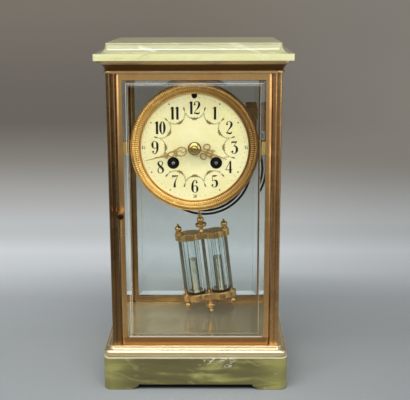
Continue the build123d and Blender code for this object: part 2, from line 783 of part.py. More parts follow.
# Tie screws: slotted heads under the plinth, rods up the posts, hexagon nuts on the cornice
with BuildPart() as ties:
    with Locations(*[(x, y, TIE_HEAD_SINK) for x, y in TIE_PLACES]):
        Cylinder(TIE_HEAD_R, TIE_HEAD_H, align=MAX_ALIGN)
        Cylinder(TIE_R, SLAB_Z + TIE_NUT_H - TIE_HEAD_SINK, align=MIN_ALIGN)
    with Locations(*[(x, y, TIE_HEAD_SINK - TIE_HEAD_H) for x, y in TIE_PLACES]):
        Box(
            2 * TIE_HEAD_R, SLOT_W, SLOT_DEPTH, align=MIN_ALIGN,
            mode=Mode.SUBTRACT,
        )
    with BuildSketch(Plane.XY.offset(SLAB_Z)):
        with Locations(*TIE_PLACES):
            RegularPolygon(TIE_NUT_R, NUT_SIDES)
    extrude(amount=TIE_NUT_H)
keep(ties.part, "tie_screws")

# Door and side frames with their bevelled glasses
LIP_Y = (FRAME_T - GLASS_EDGE_T) / 2 - GLASS_EASE
GROOVE_W = GLASS_EDGE_T + LIP_DEPTH * (GLASS_T - GLASS_EDGE_T) / GLASS_BEVEL + 2 * GLASS_EASE


def glazed_frame(name, plane, width, hinged):
    """A frame of four bars round a grooved opening; a door also has round stiles, pin and latch holes."""
    with BuildPart() as frame:
        with BuildSketch(plane):
            Rectangle(width, FRAME_H)
            Rectangle(width - 2 * FRAME_BAR, FRAME_H - 2 * FRAME_BAR, mode=Mode.SUBTRACT)
        extrude(amount=-FRAME_T)
        if hinged:
            outer_edges = frame.edges().filter_by(Axis.Z).group_by(SortBy.LENGTH)[-1]
            fillet(outer_edges, FRAME_T / 2 - SET_EASE)
        with BuildSketch(plane.offset(-LIP_Y)):
            Rectangle(width - 2 * FRAME_BAR + 2 * LIP_DEPTH, FRAME_H - 2 * FRAME_BAR + 2 * LIP_DEPTH)
        extrude(amount=-GROOVE_W, mode=Mode.SUBTRACT)
        if hinged:
            stile_x = width / 2 - FRAME_T / 2
            with BuildSketch(plane):
                with Locations((-LATCH_X, 0)):
                    Circle(LATCH_SPINDLE_R + PIVOT_EASE)
            extrude(amount=-FRAME_T, mode=Mode.SUBTRACT)
            middle = plane.offset(-FRAME_T / 2)
            for end in (-1, 1):
                socket = middle.from_local_coords((stile_x, end * FRAME_H / 2, 0))
                with BuildSketch(Plane(origin=socket)):
                    Circle(HINGE_PIN_R + PIVOT_EASE)
                extrude(amount=-end * HINGE_PIN_LEN, mode=Mode.SUBTRACT)
    keep(frame.part, f"{name}_frame")


def bevelled_glass(name, plane, width):
    """A pane with a wide bevel round its outer face."""
    wide = width - 2 * FRAME_BAR + 2 * (LIP_DEPTH - GLASS_EASE)
    high = FRAME_H - 2 * FRAME_BAR + 2 * (LIP_DEPTH - GLASS_EASE)
    back = plane.offset(-LIP_Y - GROOVE_W + GLASS_EASE)
    with BuildPart() as glass:
        with BuildSketch(back):
            Rectangle(wide, high)
        extrude(amount=GLASS_EDGE_T)
        with BuildSketch(back.offset(GLASS_EDGE_T)):
            Rectangle(wide, high)
        with BuildSketch(back.offset(GLASS_T)):
            Rectangle(wide - 2 * GLASS_BEVEL, high - 2 * GLASS_BEVEL)
        loft()
    keep(glass.part, f"{name}_glass")


FRONT = Plane(origin=(0, -DOOR_OUT_Y, FRAME_MID_Z), x_dir=(1, 0, 0), z_dir=(0, -1, 0))
BACK = Plane(origin=(0, DOOR_OUT_Y, FRAME_MID_Z), x_dir=(-1, 0, 0), z_dir=(0, 1, 0))
LEFT = Plane(origin=(-SIDE_OUT_X, 0, FRAME_MID_Z), x_dir=(0, -1, 0), z_dir=(-1, 0, 0))
RIGHT = Plane(origin=(SIDE_OUT_X, 0, FRAME_MID_Z), x_dir=(0, 1, 0), z_dir=(1, 0, 0))
for name, plane, width, hinged in (
    ("front_door", FRONT, DOOR_W, True), ("back_door", BACK, DOOR_W, True),
    ("left_side", LEFT, SIDE_W, False),
    ("right_side", RIGHT, SIDE_W, False),
):
    glazed_frame(name, plane, width, hinged)
    bevelled_glass(name, plane, width)

# Hinge pins, set in the moulding and the cornice
PIN_REACH = HINGE_PIN_SET + HINGE_PIN_LEN - FRAME_GAP
with BuildPart() as hinge_pins:
    for side in (-1, 1):
        with Locations((-side * HINGE_X, side * DOOR_MID_Y, FLOOR_Z - HINGE_PIN_SET)):
            Cylinder(HINGE_PIN_R, PIN_REACH, align=MIN_ALIGN)
        with Locations((-side * HINGE_X, side * DOOR_MID_Y, CORNICE_Z + HINGE_PIN_SET)):
            Cylinder(HINGE_PIN_R, PIN_REACH, align=MAX_ALIGN)
keep(hinge_pins.part, "hinge_pins")


def latch(name, plane):
    """A turned knob on a spindle, with a tongue inside that stands upright while the door is free."""
    outer = plane.from_local_coords((-LATCH_X, 0, 0))
    axis = Plane(origin=outer, x_dir=plane.x_dir, z_dir=plane.z_dir)
    with BuildPart() as knob:
        with BuildSketch(axis.offset(-FRAME_T - LATCH_STAND_OFF)):
            Circle(LATCH_SPINDLE_R)
        extrude(amount=FRAME_T + LATCH_STAND_OFF + LATCH_COLLAR_T)
        with BuildSketch(axis.offset(END_SHAKE)):
            Circle(LATCH_COLLAR_R)
        extrude(amount=LATCH_COLLAR_T)
        with BuildSketch(axis.offset(END_SHAKE + LATCH_COLLAR_T)):
            Circle(LATCH_NECK_R)
        extrude(amount=LATCH_NECK_LEN)
        with BuildSketch(axis.offset(END_SHAKE + LATCH_COLLAR_T + LATCH_NECK_LEN)):
            Circle(LATCH_NECK_R)
        with BuildSketch(axis.offset(END_SHAKE + LATCH_COLLAR_T + LATCH_KNOB_LEN)):
            Circle(LATCH_KNOB_R)
        loft()
        with BuildSketch(axis.offset(-FRAME_T - LATCH_STAND_OFF)):
            with Locations((0, LATCH_TONGUE_L / 2 - LATCH_TONGUE_W / 2)):
                Rectangle(LATCH_TONGUE_W, LATCH_TONGUE_L)
        extrude(amount=LATCH_TONGUE_T)
    keep(knob.part, name)


latch("front_latch", FRONT)
latch("back_latch", BACK)

# Dial: an enamelled disc on three feet, bored for the hands, the keys and the regulator
DIAL_BACK_Y = DIAL_FACE_Y + DIAL_T
WIND_PLACES = ((-WIND_X, -WIND_DROP), (WIND_X, -WIND_DROP))
with BuildPart() as dial:
    with BuildSketch(facing(DIAL_FACE_Y)):
        Circle(DIAL_R)
        Circle(DIAL_BORE_R, mode=Mode.SUBTRACT)
        with Locations(*WIND_PLACES):
            Circle(WIND_HOLE_R, mode=Mode.SUBTRACT)
        with Locations(REGULATOR):
            Circle(REG_HOLE_R, mode=Mode.SUBTRACT)
    extrude(amount=-DIAL_T)
    with BuildSketch(facing(DIAL_BACK_Y)):
        with PolarLocations(DIAL_FOOT_RING, DIAL_FOOT_COUNT, start_angle=DIAL_FOOT_START):
            Circle(DIAL_FOOT_R)
    extrude(amount=DIAL_BACK_Y - FRONT_PLATE_Y)
keep(dial.part, "dial")

# Bezel: a turned ring with a rounded crest, rebated for the dial; its band is notched for the brackets
BAND_END_Y = DIAL_FACE_Y + BEZEL_BACK
with BuildPart() as bezel:
    with BuildSketch(Plane.XY.offset(DIAL_Z)):
        with BuildLine():
            lip_y = DIAL_FACE_Y - BEZEL_LIP
            Line((DIAL_SHOW_R, DIAL_FACE_Y), (DIAL_SHOW_R, lip_y))
            ThreePointArc(
                (DIAL_SHOW_R, lip_y),
                ((DIAL_SHOW_R + BEZEL_R) / 2, DIAL_FACE_Y - BEZEL_CREST),
                (BEZEL_R, lip_y),
            )
            Polyline(
                (BEZEL_R, lip_y),
                (BEZEL_R, BAND_END_Y),
                (BEZEL_R - BEZEL_BAND_T, BAND_END_Y),
                (BEZEL_R - BEZEL_BAND_T, DIAL_FACE_Y + BEZEL_SEAT),
                (DIAL_R + GLASS_EASE, DIAL_FACE_Y + BEZEL_SEAT),
                (DIAL_R + GLASS_EASE, DIAL_FACE_Y), (DIAL_SHOW_R, DIAL_FACE_Y),
            )
        make_face()
    revolve(axis=Axis((0, 0, DIAL_Z), (0, 1, 0)))
    with Locations((0, BAND_END_Y, DIAL_Z)):
        Box(
            2 * (BEZEL_R + OVERRUN), BAND_END_Y - BRACKET_FOOT_Y + NOTCH_EASE, BRACKET_H + 2 * NOTCH_EASE,
            align=(Align.CENTER, Align.MAX, Align.CENTER), mode=Mode.SUBTRACT,
        )
keep(bezel.part, "bezel")

# Plates of the movement and what is bored in them
PILLAR_PLACES = [step_from(CENTRE, PILLAR_RING_R, angle) for angle in PILLAR_DEGS]
COCK_LEG_X = COCK_W / 2 - COCK_LEG_W / 2
COCK_SCREWS = ((-COCK_LEG_X, COCK_SCREW_RISE), (COCK_LEG_X, COCK_SCREW_RISE))
with BuildPart() as front_plate:
    with BuildSketch(facing(FRONT_PLATE_Y)):
        Circle(PLATE_R)
        Circle(CENTRE_ARBOR_R + PIVOT_EASE, mode=Mode.SUBTRACT)
        with Locations(*WIND_PLACES):
            Circle(WIND_ARBOR_R + PIVOT_EASE, mode=Mode.SUBTRACT)
        with Locations(*PIVOTS, ANCHOR, HAMMER):
            Circle(PIVOT_R + PIVOT_EASE, mode=Mode.SUBTRACT)
        with Locations(REGULATOR):
            Circle(REG_R + PIVOT_EASE, mode=Mode.SUBTRACT)
        with Locations(*PILLAR_PLACES):
            Circle(PLATE_SCREW_R + SET_EASE, mode=Mode.SUBTRACT)
        with Locations((-BRACKET_HOLE_X, 0), (BRACKET_HOLE_X, 0)):
            Circle(BRACKET_SCREW_R + SET_EASE, mode=Mode.SUBTRACT)
    extrude(amount=-PLATE_T)
    add(round_bar(MINUTE_WHEEL, STUD_TIP_Y, FRONT_PLATE_Y, STUD_R))
keep(front_plate.part, "front_plate")

with BuildPart() as back_plate:
    with BuildSketch(facing(BACK_PLATE_Y)):
        Circle(PLATE_R)
        with Locations(CENTRE, *PIVOTS):
            Circle(PIVOT_R + PIVOT_EASE, mode=Mode.SUBTRACT)
        with Locations(*WIND_PLACES):
            Circle(WIND_BACK_R + PIVOT_EASE, mode=Mode.SUBTRACT)
        with Locations(ANCHOR):
            Circle(ANCHOR_HOLE_R, mode=Mode.SUBTRACT)
        with Locations(HAMMER):
            Circle(ARBOR_R + PIVOT_EASE, mode=Mode.SUBTRACT)
        with Locations(REGULATOR):
            Circle(REG_R + PIVOT_EASE, mode=Mode.SUBTRACT)
        with Locations(*PILLAR_PLACES, GONG_SCREW, *COCK_SCREWS):
            Circle(PLATE_SCREW_R + SET_EASE, mode=Mode.SUBTRACT)
    extrude(amount=-PLATE_T)
keep(back_plate.part, "back_plate")

# Pillars, turned with a collar at each end and bored for the plate screws
with BuildPart() as pillars:
    for place in PILLAR_PLACES:
        add(round_bar(place, PLATE_INNER_FRONT, BACK_PLATE_Y, PILLAR_R))
        add(disc_at(PLATE_INNER_FRONT, PILLAR_COLLAR_T, PILLAR_COLLAR_R, place))
        add(disc_at(BACK_PLATE_Y - PILLAR_COLLAR_T, PILLAR_COLLAR_T, PILLAR_COLLAR_R, place))
        for front, back in (
            (PLATE_INNER_FRONT, PLATE_INNER_FRONT + PLATE_SCREW_SET),
            (BACK_PLATE_Y - PLATE_SCREW_SET, BACK_PLATE_Y),
        ):
            add(round_bar(place, front, back, PLATE_SCREW_R + SET_EASE), mode=Mode.SUBTRACT)
keep(pillars.part, "plate_pillars")


def screw_along_y(place, seat, into, radius, head_r, head_h, reach):
    """A slotted screw along Y: its head on the seat, its shank running the way that into points."""
    head = disc_at(min(seat, seat - into * head_h), head_h, head_r, place)
    shank = disc_at(min(seat, seat + into * reach), reach, radius, place)
    slot_y = seat - into * head_h
    slot_plane = facing(slot_y, place)
    with BuildPart() as screw:
        add(head)
        add(shank)
        with BuildSketch(slot_plane):
            Rectangle(2 * head_r, SLOT_W)
        extrude(amount=-into * SLOT_DEPTH, mode=Mode.SUBTRACT)
    return screw.part


BACK_OUTER = BACK_PLATE_Y + PLATE_T
PLATE_SCREW_REACH = PLATE_T + PLATE_SCREW_SET - OVERRUN
COCK_SCREW_REACH = COCK_PLATE_Y + COCK_PLATE_T - BACK_PLATE_Y
with BuildPart() as screws:
    for place in PILLAR_PLACES:
        add(screw_along_y(
            place, FRONT_PLATE_Y, 1, PLATE_SCREW_R, PLATE_SCREW_HEAD_R, PLATE_SCREW_HEAD_H, PLATE_SCREW_REACH
        ))
        add(screw_along_y(
            place, BACK_OUTER, -1, PLATE_SCREW_R, PLATE_SCREW_HEAD_R, PLATE_SCREW_HEAD_H, PLATE_SCREW_REACH
        ))
    for side in (-1, 1):
        add(screw_along_y(
            (side * BRACKET_HOLE_X, 0), BRACKET_FOOT_Y, 1, BRACKET_SCREW_R, BRACKET_SCREW_HEAD_R,
            BRACKET_SCREW_HEAD_H, BRACKET_T + PLATE_T,
        ))
    add(screw_along_y(
        GONG_SCREW, BACK_OUTER + GONG_FOOT_T, -1, PLATE_SCREW_R, PLATE_SCREW_HEAD_R, PLATE_SCREW_HEAD_H,
        GONG_FOOT_T + PLATE_T,
    ))
    for place in COCK_SCREWS:
        add(screw_along_y(
            place, COCK_PLATE_Y + COCK_PLATE_T, -1, PLATE_SCREW_R, PLATE_SCREW_HEAD_R, PLATE_SCREW_HEAD_H,
            COCK_SCREW_REACH,
        ))
keep(screws.part, "movement_screws")

# Brackets: bent strips from the side frames, round the bezel, to the front plate
SIDE_IN_X = SIDE_OUT_X - FRAME_T
BRACKET_LEG_X = BEZEL_R + BRACKET_LEG_GAP
with BuildPart() as brackets:
    for side in (-1, 1):
        with BuildSketch(Plane.XY.offset(DIAL_Z - BRACKET_H / 2)):
            with BuildLine():
                Polyline(
                    (side * SIDE_IN_X, BRACKET_FRONT_Y + BRACKET_FLANGE_L),
                    (side * SIDE_IN_X, BRACKET_FRONT_Y),
                    (side * BRACKET_LEG_X, BRACKET_FRONT_Y), (side * BRACKET_LEG_X, BRACKET_FOOT_Y),
                    (side * BRACKET_FOOT_IN, BRACKET_FOOT_Y), (side * BRACKET_FOOT_IN, FRONT_PLATE_Y),
                    (side * (BRACKET_LEG_X + BRACKET_T), FRONT_PLATE_Y),
                    (side * (BRACKET_LEG_X + BRACKET_T), BRACKET_FRONT_Y + BRACKET_T),
                    (side * (SIDE_IN_X - BRACKET_T), BRACKET_FRONT_Y + BRACKET_T),
                    (side * (SIDE_IN_X - BRACKET_T), BRACKET_FRONT_Y + BRACKET_FLANGE_L), close=True,
                )
            make_face()
        extrude(amount=BRACKET_H)
        add(
            round_bar((side * BRACKET_HOLE_X, 0), BRACKET_FOOT_Y, FRONT_PLATE_Y, BRACKET_SCREW_R + SET_EASE),
            mode=Mode.SUBTRACT,
        )
keep(brackets.part, "movement_brackets")

# Winding arbors with their ratchets, and the two barrels
RATCHET_Y = PLATE_INNER_FRONT + END_SHAKE
for name, place in (("time", TIME_BARREL), ("strike", STRIKE_BARREL)):
    with BuildPart() as winder:
        add(square_bar(place, WIND_TIP_Y, FRONT_PLATE_Y, WIND_SQUARE))
        add(round_bar(place, FRONT_PLATE_Y, BARREL_WHEEL_Y + BARREL_FLANGE_T + END_SHAKE, WIND_ARBOR_R))
        add(round_bar(place, BARREL_WHEEL_Y, BACK_OUTER, WIND_BACK_R))
        with BuildSketch(facing(RATCHET_Y, place)):
            with BuildLine():
                step = 360 / RATCHET_TEETH
                points = []
                for tooth in range(RATCHET_TEETH):
                    points.append(step_from(CENTRE, RATCHET_R, tooth * step))
                    points.append(step_from(CENTRE, RATCHET_R - RATCHET_DEPTH, tooth * step))
                Polyline(*points, close=True)
            make_face()
        extrude(amount=-RATCHET_T)
    keep(winder.part, f"{name}_winding_arbor")
    target = INTERMEDIATE if name == "time" else STRIKE_INTERMEDIATE
    with BuildPart() as barrel:
        add(round_bar(place, BARREL_Y, BARREL_WHEEL_Y, BARREL_R))
        add(wheel_solid(
            place, BARREL_WHEEL_Y, BARREL_FLANGE_T, BARREL_MODULE, BARREL_TEETH,
            mesh_angle(place, target), False,
        ))
        add(
            round_bar(place, BARREL_Y, BARREL_WHEEL_Y + BARREL_FLANGE_T, WIND_ARBOR_R + PIVOT_EASE),
            mode=Mode.SUBTRACT,
        )
    keep(barrel.part, f"{name}_barrel")

# Arbors of the going train
PINION_L = WHEEL_T + 2 * PINION_OVERHANG
LOW_PINION_Y = BARREL_WHEEL_Y - PINION_OVERHANG
LOW_PINION_L = BARREL_FLANGE_T + 2 * PINION_OVERHANG


def low_pinion(place, barrel_place):
    """The pinion that a barrel drives."""
    phase = leaf_phase(barrel_place, place, BARREL_PINION_TEETH)
    return pinion_solid(place, LOW_PINION_Y, LOW_PINION_L, BARREL_MODULE, BARREL_PINION_TEETH, phase)


def driven_pinion(place, driver, y, module, leaves):
    """A pinion on one arbor, in mesh with the wheel of the arbor before it."""
    phase = leaf_phase(driver, place, leaves)
    return pinion_solid(place, y - PINION_OVERHANG, PINION_L, module, leaves, phase)


def driving_wheel(place, driven, y, module, teeth):
    """A crossed-out wheel on one arbor, in mesh with the pinion of the arbor after it."""
    return wheel_solid(place, y, WHEEL_T, module, teeth, mesh_angle(place, driven))


train_arbor("time_intermediate_wheel", INTERMEDIATE, [
    low_pinion(INTERMEDIATE, TIME_BARREL),
    driving_wheel(INTERMEDIATE, CENTRE, INTERMEDIATE_Y, CENTRE_MODULE, INTERMEDIATE_TEETH),
])
train_arbor("third_wheel", THIRD, [
    driven_pinion(THIRD, CENTRE, CENTRE_WHEEL_Y, FINE_MODULE, THIRD_PINION_TEETH),
    driving_wheel(THIRD, ESCAPE, THIRD_WHEEL_Y, THIRD_MODULE, THIRD_TEETH),
])
with BuildPart() as escape_rim:
    with BuildSketch(facing(ESCAPE_WHEEL_Y, ESCAPE)):
        with BuildLine():
            step = 360 / ESCAPE_TEETH
            points = []
            for tooth in range(ESCAPE_TEETH):
                points.append(step_from(CENTRE, ESCAPE_ROOT_R, tooth * step))
                points.append(step_from(CENTRE, ESCAPE_TIP_R, tooth * step))
            Polyline(*points, close=True)
        make_face()
    extrude(amount=-WHEEL_T)
train_arbor("escape_wheel", ESCAPE, [
    driven_pinion(ESCAPE, THIRD, THIRD_WHEEL_Y, THIRD_MODULE, ESCAPE_PINION_TEETH), escape_rim.part,
])

# Centre arbor: it carries the centre wheel and runs out through the dial
HAND_NUT_Y = MINUTE_HAND_Y - HAND_T / 2 - HAND_NUT_H
CENTRE_TIP_Y = HAND_NUT_Y - PINION_OVERHANG / 2
with BuildPart() as centre_wheel:
    add(round_bar(CENTRE, CENTRE_TIP_Y, BACK_PLATE_Y - END_SHAKE, CENTRE_ARBOR_R))
    add(round_bar(CENTRE, BACK_PLATE_Y - OVERRUN, BACK_OUTER, PIVOT_R))
    add(driven_pinion(CENTRE, INTERMEDIATE, INTERMEDIATE_Y, CENTRE_MODULE, CENTRE_PINION_TEETH))
    add(driving_wheel(CENTRE, THIRD, CENTRE_WHEEL_Y, FINE_MODULE, CENTRE_TEETH))
keep(centre_wheel.part, "centre_wheel")

# Arbors of the strike train
train_arbor("strike_intermediate_wheel", STRIKE_INTERMEDIATE, [
    low_pinion(STRIKE_INTERMEDIATE, STRIKE_BARREL),
    driving_wheel(STRIKE_INTERMEDIATE, PIN_WHEEL, STRIKE_WHEEL_Y, FINE_MODULE, STRIKE_TEETH),
])
with BuildPart() as lifting_pins:
    with BuildSketch(facing(PIN_WHEEL_Y - PIN_L, PIN_WHEEL)):
        with PolarLocations(PIN_CIRCLE_R, PIN_COUNT):
            Circle(PIN_R)
    extrude(amount=-PIN_L)
train_arbor("pin_wheel", PIN_WHEEL, [
    driven_pinion(PIN_WHEEL, STRIKE_INTERMEDIATE, STRIKE_WHEEL_Y, FINE_MODULE, PIN_PINION_TEETH),
    driving_wheel(PIN_WHEEL, WARNING, PIN_WHEEL_Y, THIRD_MODULE, PIN_TEETH), lifting_pins.part,
])
train_arbor("warning_wheel", WARNING, [
    driven_pinion(WARNING, PIN_WHEEL, PIN_WHEEL_Y, THIRD_MODULE, WARNING_PINION_TEETH),
    driving_wheel(WARNING, FLY, WARNING_WHEEL_Y, THIRD_MODULE, WARNING_TEETH),
])
with BuildPart() as fly_vane:
    with BuildSketch(facing(FLY_Y, FLY)):
        Rectangle(FLY_W, FLY_T)
        Circle(ARBOR_R + FLY_T)
    extrude(amount=-FLY_L)
train_arbor("fly", FLY, [
    driven_pinion(FLY, WARNING, WARNING_WHEEL_Y, THIRD_MODULE, FLY_PINION_TEETH), fly_vane.part,
])

# Motion work under the dial
CANNON_Y = MINUTE_WHEEL_Y - MOTION_T / 2
CANNON_L = FRONT_PLATE_Y - MOTION_T - CANNON_Y
minute_down = mesh_angle(MINUTE_WHEEL, CENTRE)
with BuildPart() as cannon:
    add(round_bar(CENTRE, MINUTE_HAND_Y - HAND_T / 2, CANNON_Y + CANNON_L, CANNON_PIPE_R))
    add(pinion_solid(
        CENTRE, CANNON_Y, CANNON_L, CANNON_MODULE, CANNON_TEETH,
        leaf_phase(MINUTE_WHEEL, CENTRE, CANNON_TEETH),
    ))
    add(
        round_bar(CENTRE, CENTRE_TIP_Y, FRONT_PLATE_Y, CENTRE_ARBOR_R + PIVOT_EASE), mode=Mode.SUBTRACT
    )
keep(cannon.part, "cannon_pinion")
MINUTE_PINION_Y = HOUR_WHEEL_Y - MOTION_T / 3
with BuildPart() as minute_wheel:
    add(wheel_solid(MINUTE_WHEEL, MINUTE_WHEEL_Y, MOTION_T, CANNON_MODULE, MINUTE_TEETH, minute_down))
    add(pinion_solid(
        MINUTE_WHEEL, MINUTE_PINION_Y, MINUTE_WHEEL_Y - MINUTE_PINION_Y, HOUR_MODULE, MINUTE_PINION_TEETH,
        leaf_phase(CENTRE, MINUTE_WHEEL, MINUTE_PINION_TEETH),
    ))
    add(round_bar(MINUTE_WHEEL, STUD_TIP_Y, FRONT_PLATE_Y, STUD_R + PIVOT_EASE), mode=Mode.SUBTRACT)
keep(minute_wheel.part, "minute_wheel")
with BuildPart() as hour_wheel:
    add(wheel_solid(
        CENTRE, HOUR_WHEEL_Y, MOTION_T, HOUR_MODULE, HOUR_TEETH, mesh_angle(CENTRE, MINUTE_WHEEL), False
    ))
    add(round_bar(CENTRE, HOUR_HAND_Y - HAND_T / 2, HOUR_WHEEL_Y + MOTION_T, HOUR_PIPE_R))
    add(
        round_bar(CENTRE, CENTRE_TIP_Y, FRONT_PLATE_Y, CANNON_PIPE_R + PIVOT_EASE), mode=Mode.SUBTRACT
    )
keep(hour_wheel.part, "hour_wheel")


def hand(name, y, angle, length, loop_r, pipe_r):
    """A pierced hand, an angle from twelve: a boss, two open rings on a tapering bar and a fine tip."""
    turn = radians(angle)
    plane = Plane(origin=(0, y, DIAL_Z), x_dir=(cos(turn), 0, -sin(turn)), z_dir=(0, -1, 0))
    with BuildPart() as pointer:
        with BuildSketch(plane):
            with BuildLine():
                Polyline(
                    (-HAND_BAR_W / 2, 0),
                    (-HAND_TIP_W / 2, length),
                    (HAND_TIP_W / 2, length),
                    (HAND_BAR_W / 2, 0),
                    close=True,
                )
            make_face()
            for share in HAND_LOOP_SHARES:
                with Locations((0, share * length)):
                    Circle(loop_r)
            for share in HAND_LOOP_SHARES:
                with Locations((0, share * length)):
                    Circle(loop_r - HAND_BAR_W / 2, mode=Mode.SUBTRACT)
            Circle(HAND_BOSS_R)
            Circle(pipe_r + SET_EASE, mode=Mode.SUBTRACT)
        extrude(amount=-HAND_T)
    keep(pointer.part, name)


hand("minute_hand", MINUTE_HAND_Y, MINUTE_DEG, MINUTE_HAND_L, MINUTE_LOOP_R, CANNON_PIPE_R)
hand("hour_hand", HOUR_HAND_Y, HOUR_DEG, HOUR_HAND_L, HOUR_LOOP_R, HOUR_PIPE_R)
with BuildPart() as hand_nut:
    with BuildSketch(facing(HAND_NUT_Y)):
        Circle(HAND_NUT_R)
        Circle(CENTRE_ARBOR_R + SET_EASE, mode=Mode.SUBTRACT)
    extrude(amount=-HAND_NUT_H)
keep(hand_nut.part, "hand_nut")

# Suspension cock: two legs on the back plate, a bridge for the anchor's pivot and an arm for the spring
COCK_PLATE_LOW = ANCHOR_RISE - COCK_LOW_DROP
COCK_PLATE_TOP = ANCHOR_RISE + COCK_TOP_RISE
COCK_LEG_TOP = ANCHOR_RISE + COCK_LEG_RISE
SUSPENSION_Z = DIAL_Z + ANCHOR_RISE
with BuildPart() as cock:
    with BuildSketch(facing(COCK_PLATE_Y, (0, (COCK_PLATE_LOW + COCK_PLATE_TOP) / 2))):
        Rectangle(COCK_W, COCK_PLATE_TOP - COCK_PLATE_LOW)
    extrude(amount=-COCK_PLATE_T)
    with BuildSketch(facing(BACK_OUTER, (0, (COCK_PLATE_LOW + COCK_LEG_TOP) / 2))):
        with Locations((-COCK_LEG_X, 0), (COCK_LEG_X, 0)):
            Rectangle(COCK_LEG_W, COCK_LEG_TOP - COCK_PLATE_LOW)
    extrude(amount=BACK_OUTER - COCK_PLATE_Y)
    with BuildSketch(facing(COCK_PLATE_Y + COCK_PLATE_T, (0, COCK_PLATE_TOP - SUSPENSION_ARM_H / 2))):
        Rectangle(SUSPENSION_ARM_W, SUSPENSION_ARM_H)
    extrude(amount=-SUSPENSION_ARM_L)
    cock_back = COCK_PLATE_Y + COCK_PLATE_T
    add(round_bar(ANCHOR, COCK_PLATE_Y, cock_back, PIVOT_R + PIVOT_EASE), mode=Mode.SUBTRACT)
    add(round_bar(REGULATOR, COCK_PLATE_Y, cock_back, REG_R + PIVOT_EASE), mode=Mode.SUBTRACT)
    for place in COCK_SCREWS:
        add(round_bar(place, BACK_OUTER, cock_back, PLATE_SCREW_R + SET_EASE), mode=Mode.SUBTRACT)
keep(cock.part, "suspension_cock")

# Suspension spring: a thin strip under the arm, held in a chop
SPRING_TOP = COCK_PLATE_TOP - SUSPENSION_ARM_H
SPRING_LOW = ANCHOR_RISE + EYE_BAR
SPRING_FRONT = PENDULUM_Y - SPRING_W / 2
with BuildPart() as spring:
    with BuildSketch(facing(SPRING_FRONT, (0, (SPRING_TOP + SPRING_LOW) / 2))):
        Rectangle(SPRING_T, SPRING_TOP - SPRING_LOW)
    extrude(amount=-SPRING_W)
    with BuildSketch(facing(SPRING_FRONT, (0, SPRING_TOP - CHOP_H / 4))):
        Rectangle(CHOP_W, CHOP_H / 2)
    extrude(amount=-SPRING_W)
keep(spring.part, "suspension_spring")

# Regulator arbor: a key square above the twelve, running back to the cock
with BuildPart() as regulator:
    add(square_bar(REGULATOR, REG_TIP_Y, FRONT_PLATE_Y, REG_SQUARE))
    add(round_bar(REGULATOR, FRONT_PLATE_Y, cock_back, REG_R))
keep(regulator.part, "regulator_arbor")


def leaning(y):
    """A drawing plane at the suspension, leaning with the leader rod: x across, y up along the rod."""
    lean = radians(LEADER_DEG)
    return Plane(origin=(0, y, SUSPENSION_Z), x_dir=(cos(lean), 0, sin(lean)), z_dir=(0, -1, 0))


# Anchor and crutch on one arbor; the nibs stay just clear of the escape wheel
NIB_DROP = ANCHOR_RISE - ESCAPE_Z_RISE - sqrt((ESCAPE_TIP_R + ANCHOR_NIB_GAP) ** 2 - ANCHOR_SPAN**2)
NIB_OUT = ANCHOR_SPAN + ANCHOR_BAR
ANCHOR_Y = ESCAPE_WHEEL_Y - (ANCHOR_T - WHEEL_T) / 2
CRUTCH_PIN_X = LEADER_W / 2 + CRUTCH_EASE + CRUTCH_PIN_R
with BuildPart() as anchor:
    add(round_bar(ANCHOR, PLATE_INNER_FRONT + END_SHAKE, COCK_PLATE_Y - END_SHAKE, ARBOR_R))
    add(round_bar(ANCHOR, FRONT_PLATE_Y, cock_back, PIVOT_R))
    with BuildSketch(leaning(ANCHOR_Y)):
        with BuildLine():
            Polyline(
                (-NIB_OUT, -NIB_DROP), (-NIB_OUT, 0), (0, ANCHOR_BAR), (NIB_OUT, 0), (NIB_OUT, -NIB_DROP),
                (ANCHOR_SPAN, -NIB_DROP), (ANCHOR_SPAN, -ANCHOR_ARCH), (0, -ANCHOR_ARCH / 2),
                (-ANCHOR_SPAN, -ANCHOR_ARCH), (-ANCHOR_SPAN, -NIB_DROP), close=True,
            )
        make_face()
        Circle(ANCHOR_HUB_R)
    extrude(amount=-ANCHOR_T)
    with BuildSketch(leaning(CRUTCH_Y)):
        with Locations((0, -CRUTCH_LEN / 2)):
            Rectangle(CRUTCH_W, CRUTCH_LEN)
        with Locations((0, -CRUTCH_LEN)):
            Rectangle(2 * (CRUTCH_PIN_X + CRUTCH_PIN_R), CRUTCH_W)
        Circle(ANCHOR_HUB_R)
    extrude(amount=-CRUTCH_T)
    with BuildSketch(leaning(CRUTCH_Y)):
        with Locations((-CRUTCH_PIN_X, -CRUTCH_LEN), (CRUTCH_PIN_X, -CRUTCH_LEN)):
            Circle(CRUTCH_PIN_R)
    extrude(amount=CRUTCH_Y - CRUTCH_REACH)
keep(anchor.part, "anchor_crutch")

# Leader rod: a flat strip from the spring down to an eye
LEAN = radians(LEADER_DEG)
HANG_L = (SUSPENSION_Z - HOOK_Z) / cos(LEAN)
HOOK = (HANG_L * sin(LEAN), PENDULUM_Y, HOOK_Z)
EYE_Y = EYE_R - HANG_L
ROD_TOP = EYE_BAR / 2
with BuildPart() as leader:
    with BuildSketch(leaning(PENDULUM_Y - LEADER_T / 2)):
        with Locations((0, (ROD_TOP + EYE_Y + EYE_R) / 2)):
            Rectangle(LEADER_W, ROD_TOP - EYE_Y - EYE_R)
    extrude(amount=-LEADER_T)
    with BuildSketch(leaning(PENDULUM_Y - EYE_BAR / 2)):
        with Locations((0, EYE_Y)):
            Circle(EYE_R + EYE_BAR / 2)
            Circle(EYE_R - EYE_BAR / 2, mode=Mode.SUBTRACT)
    extrude(amount=-EYE_BAR)
keep(leader.part, "leader_rod")

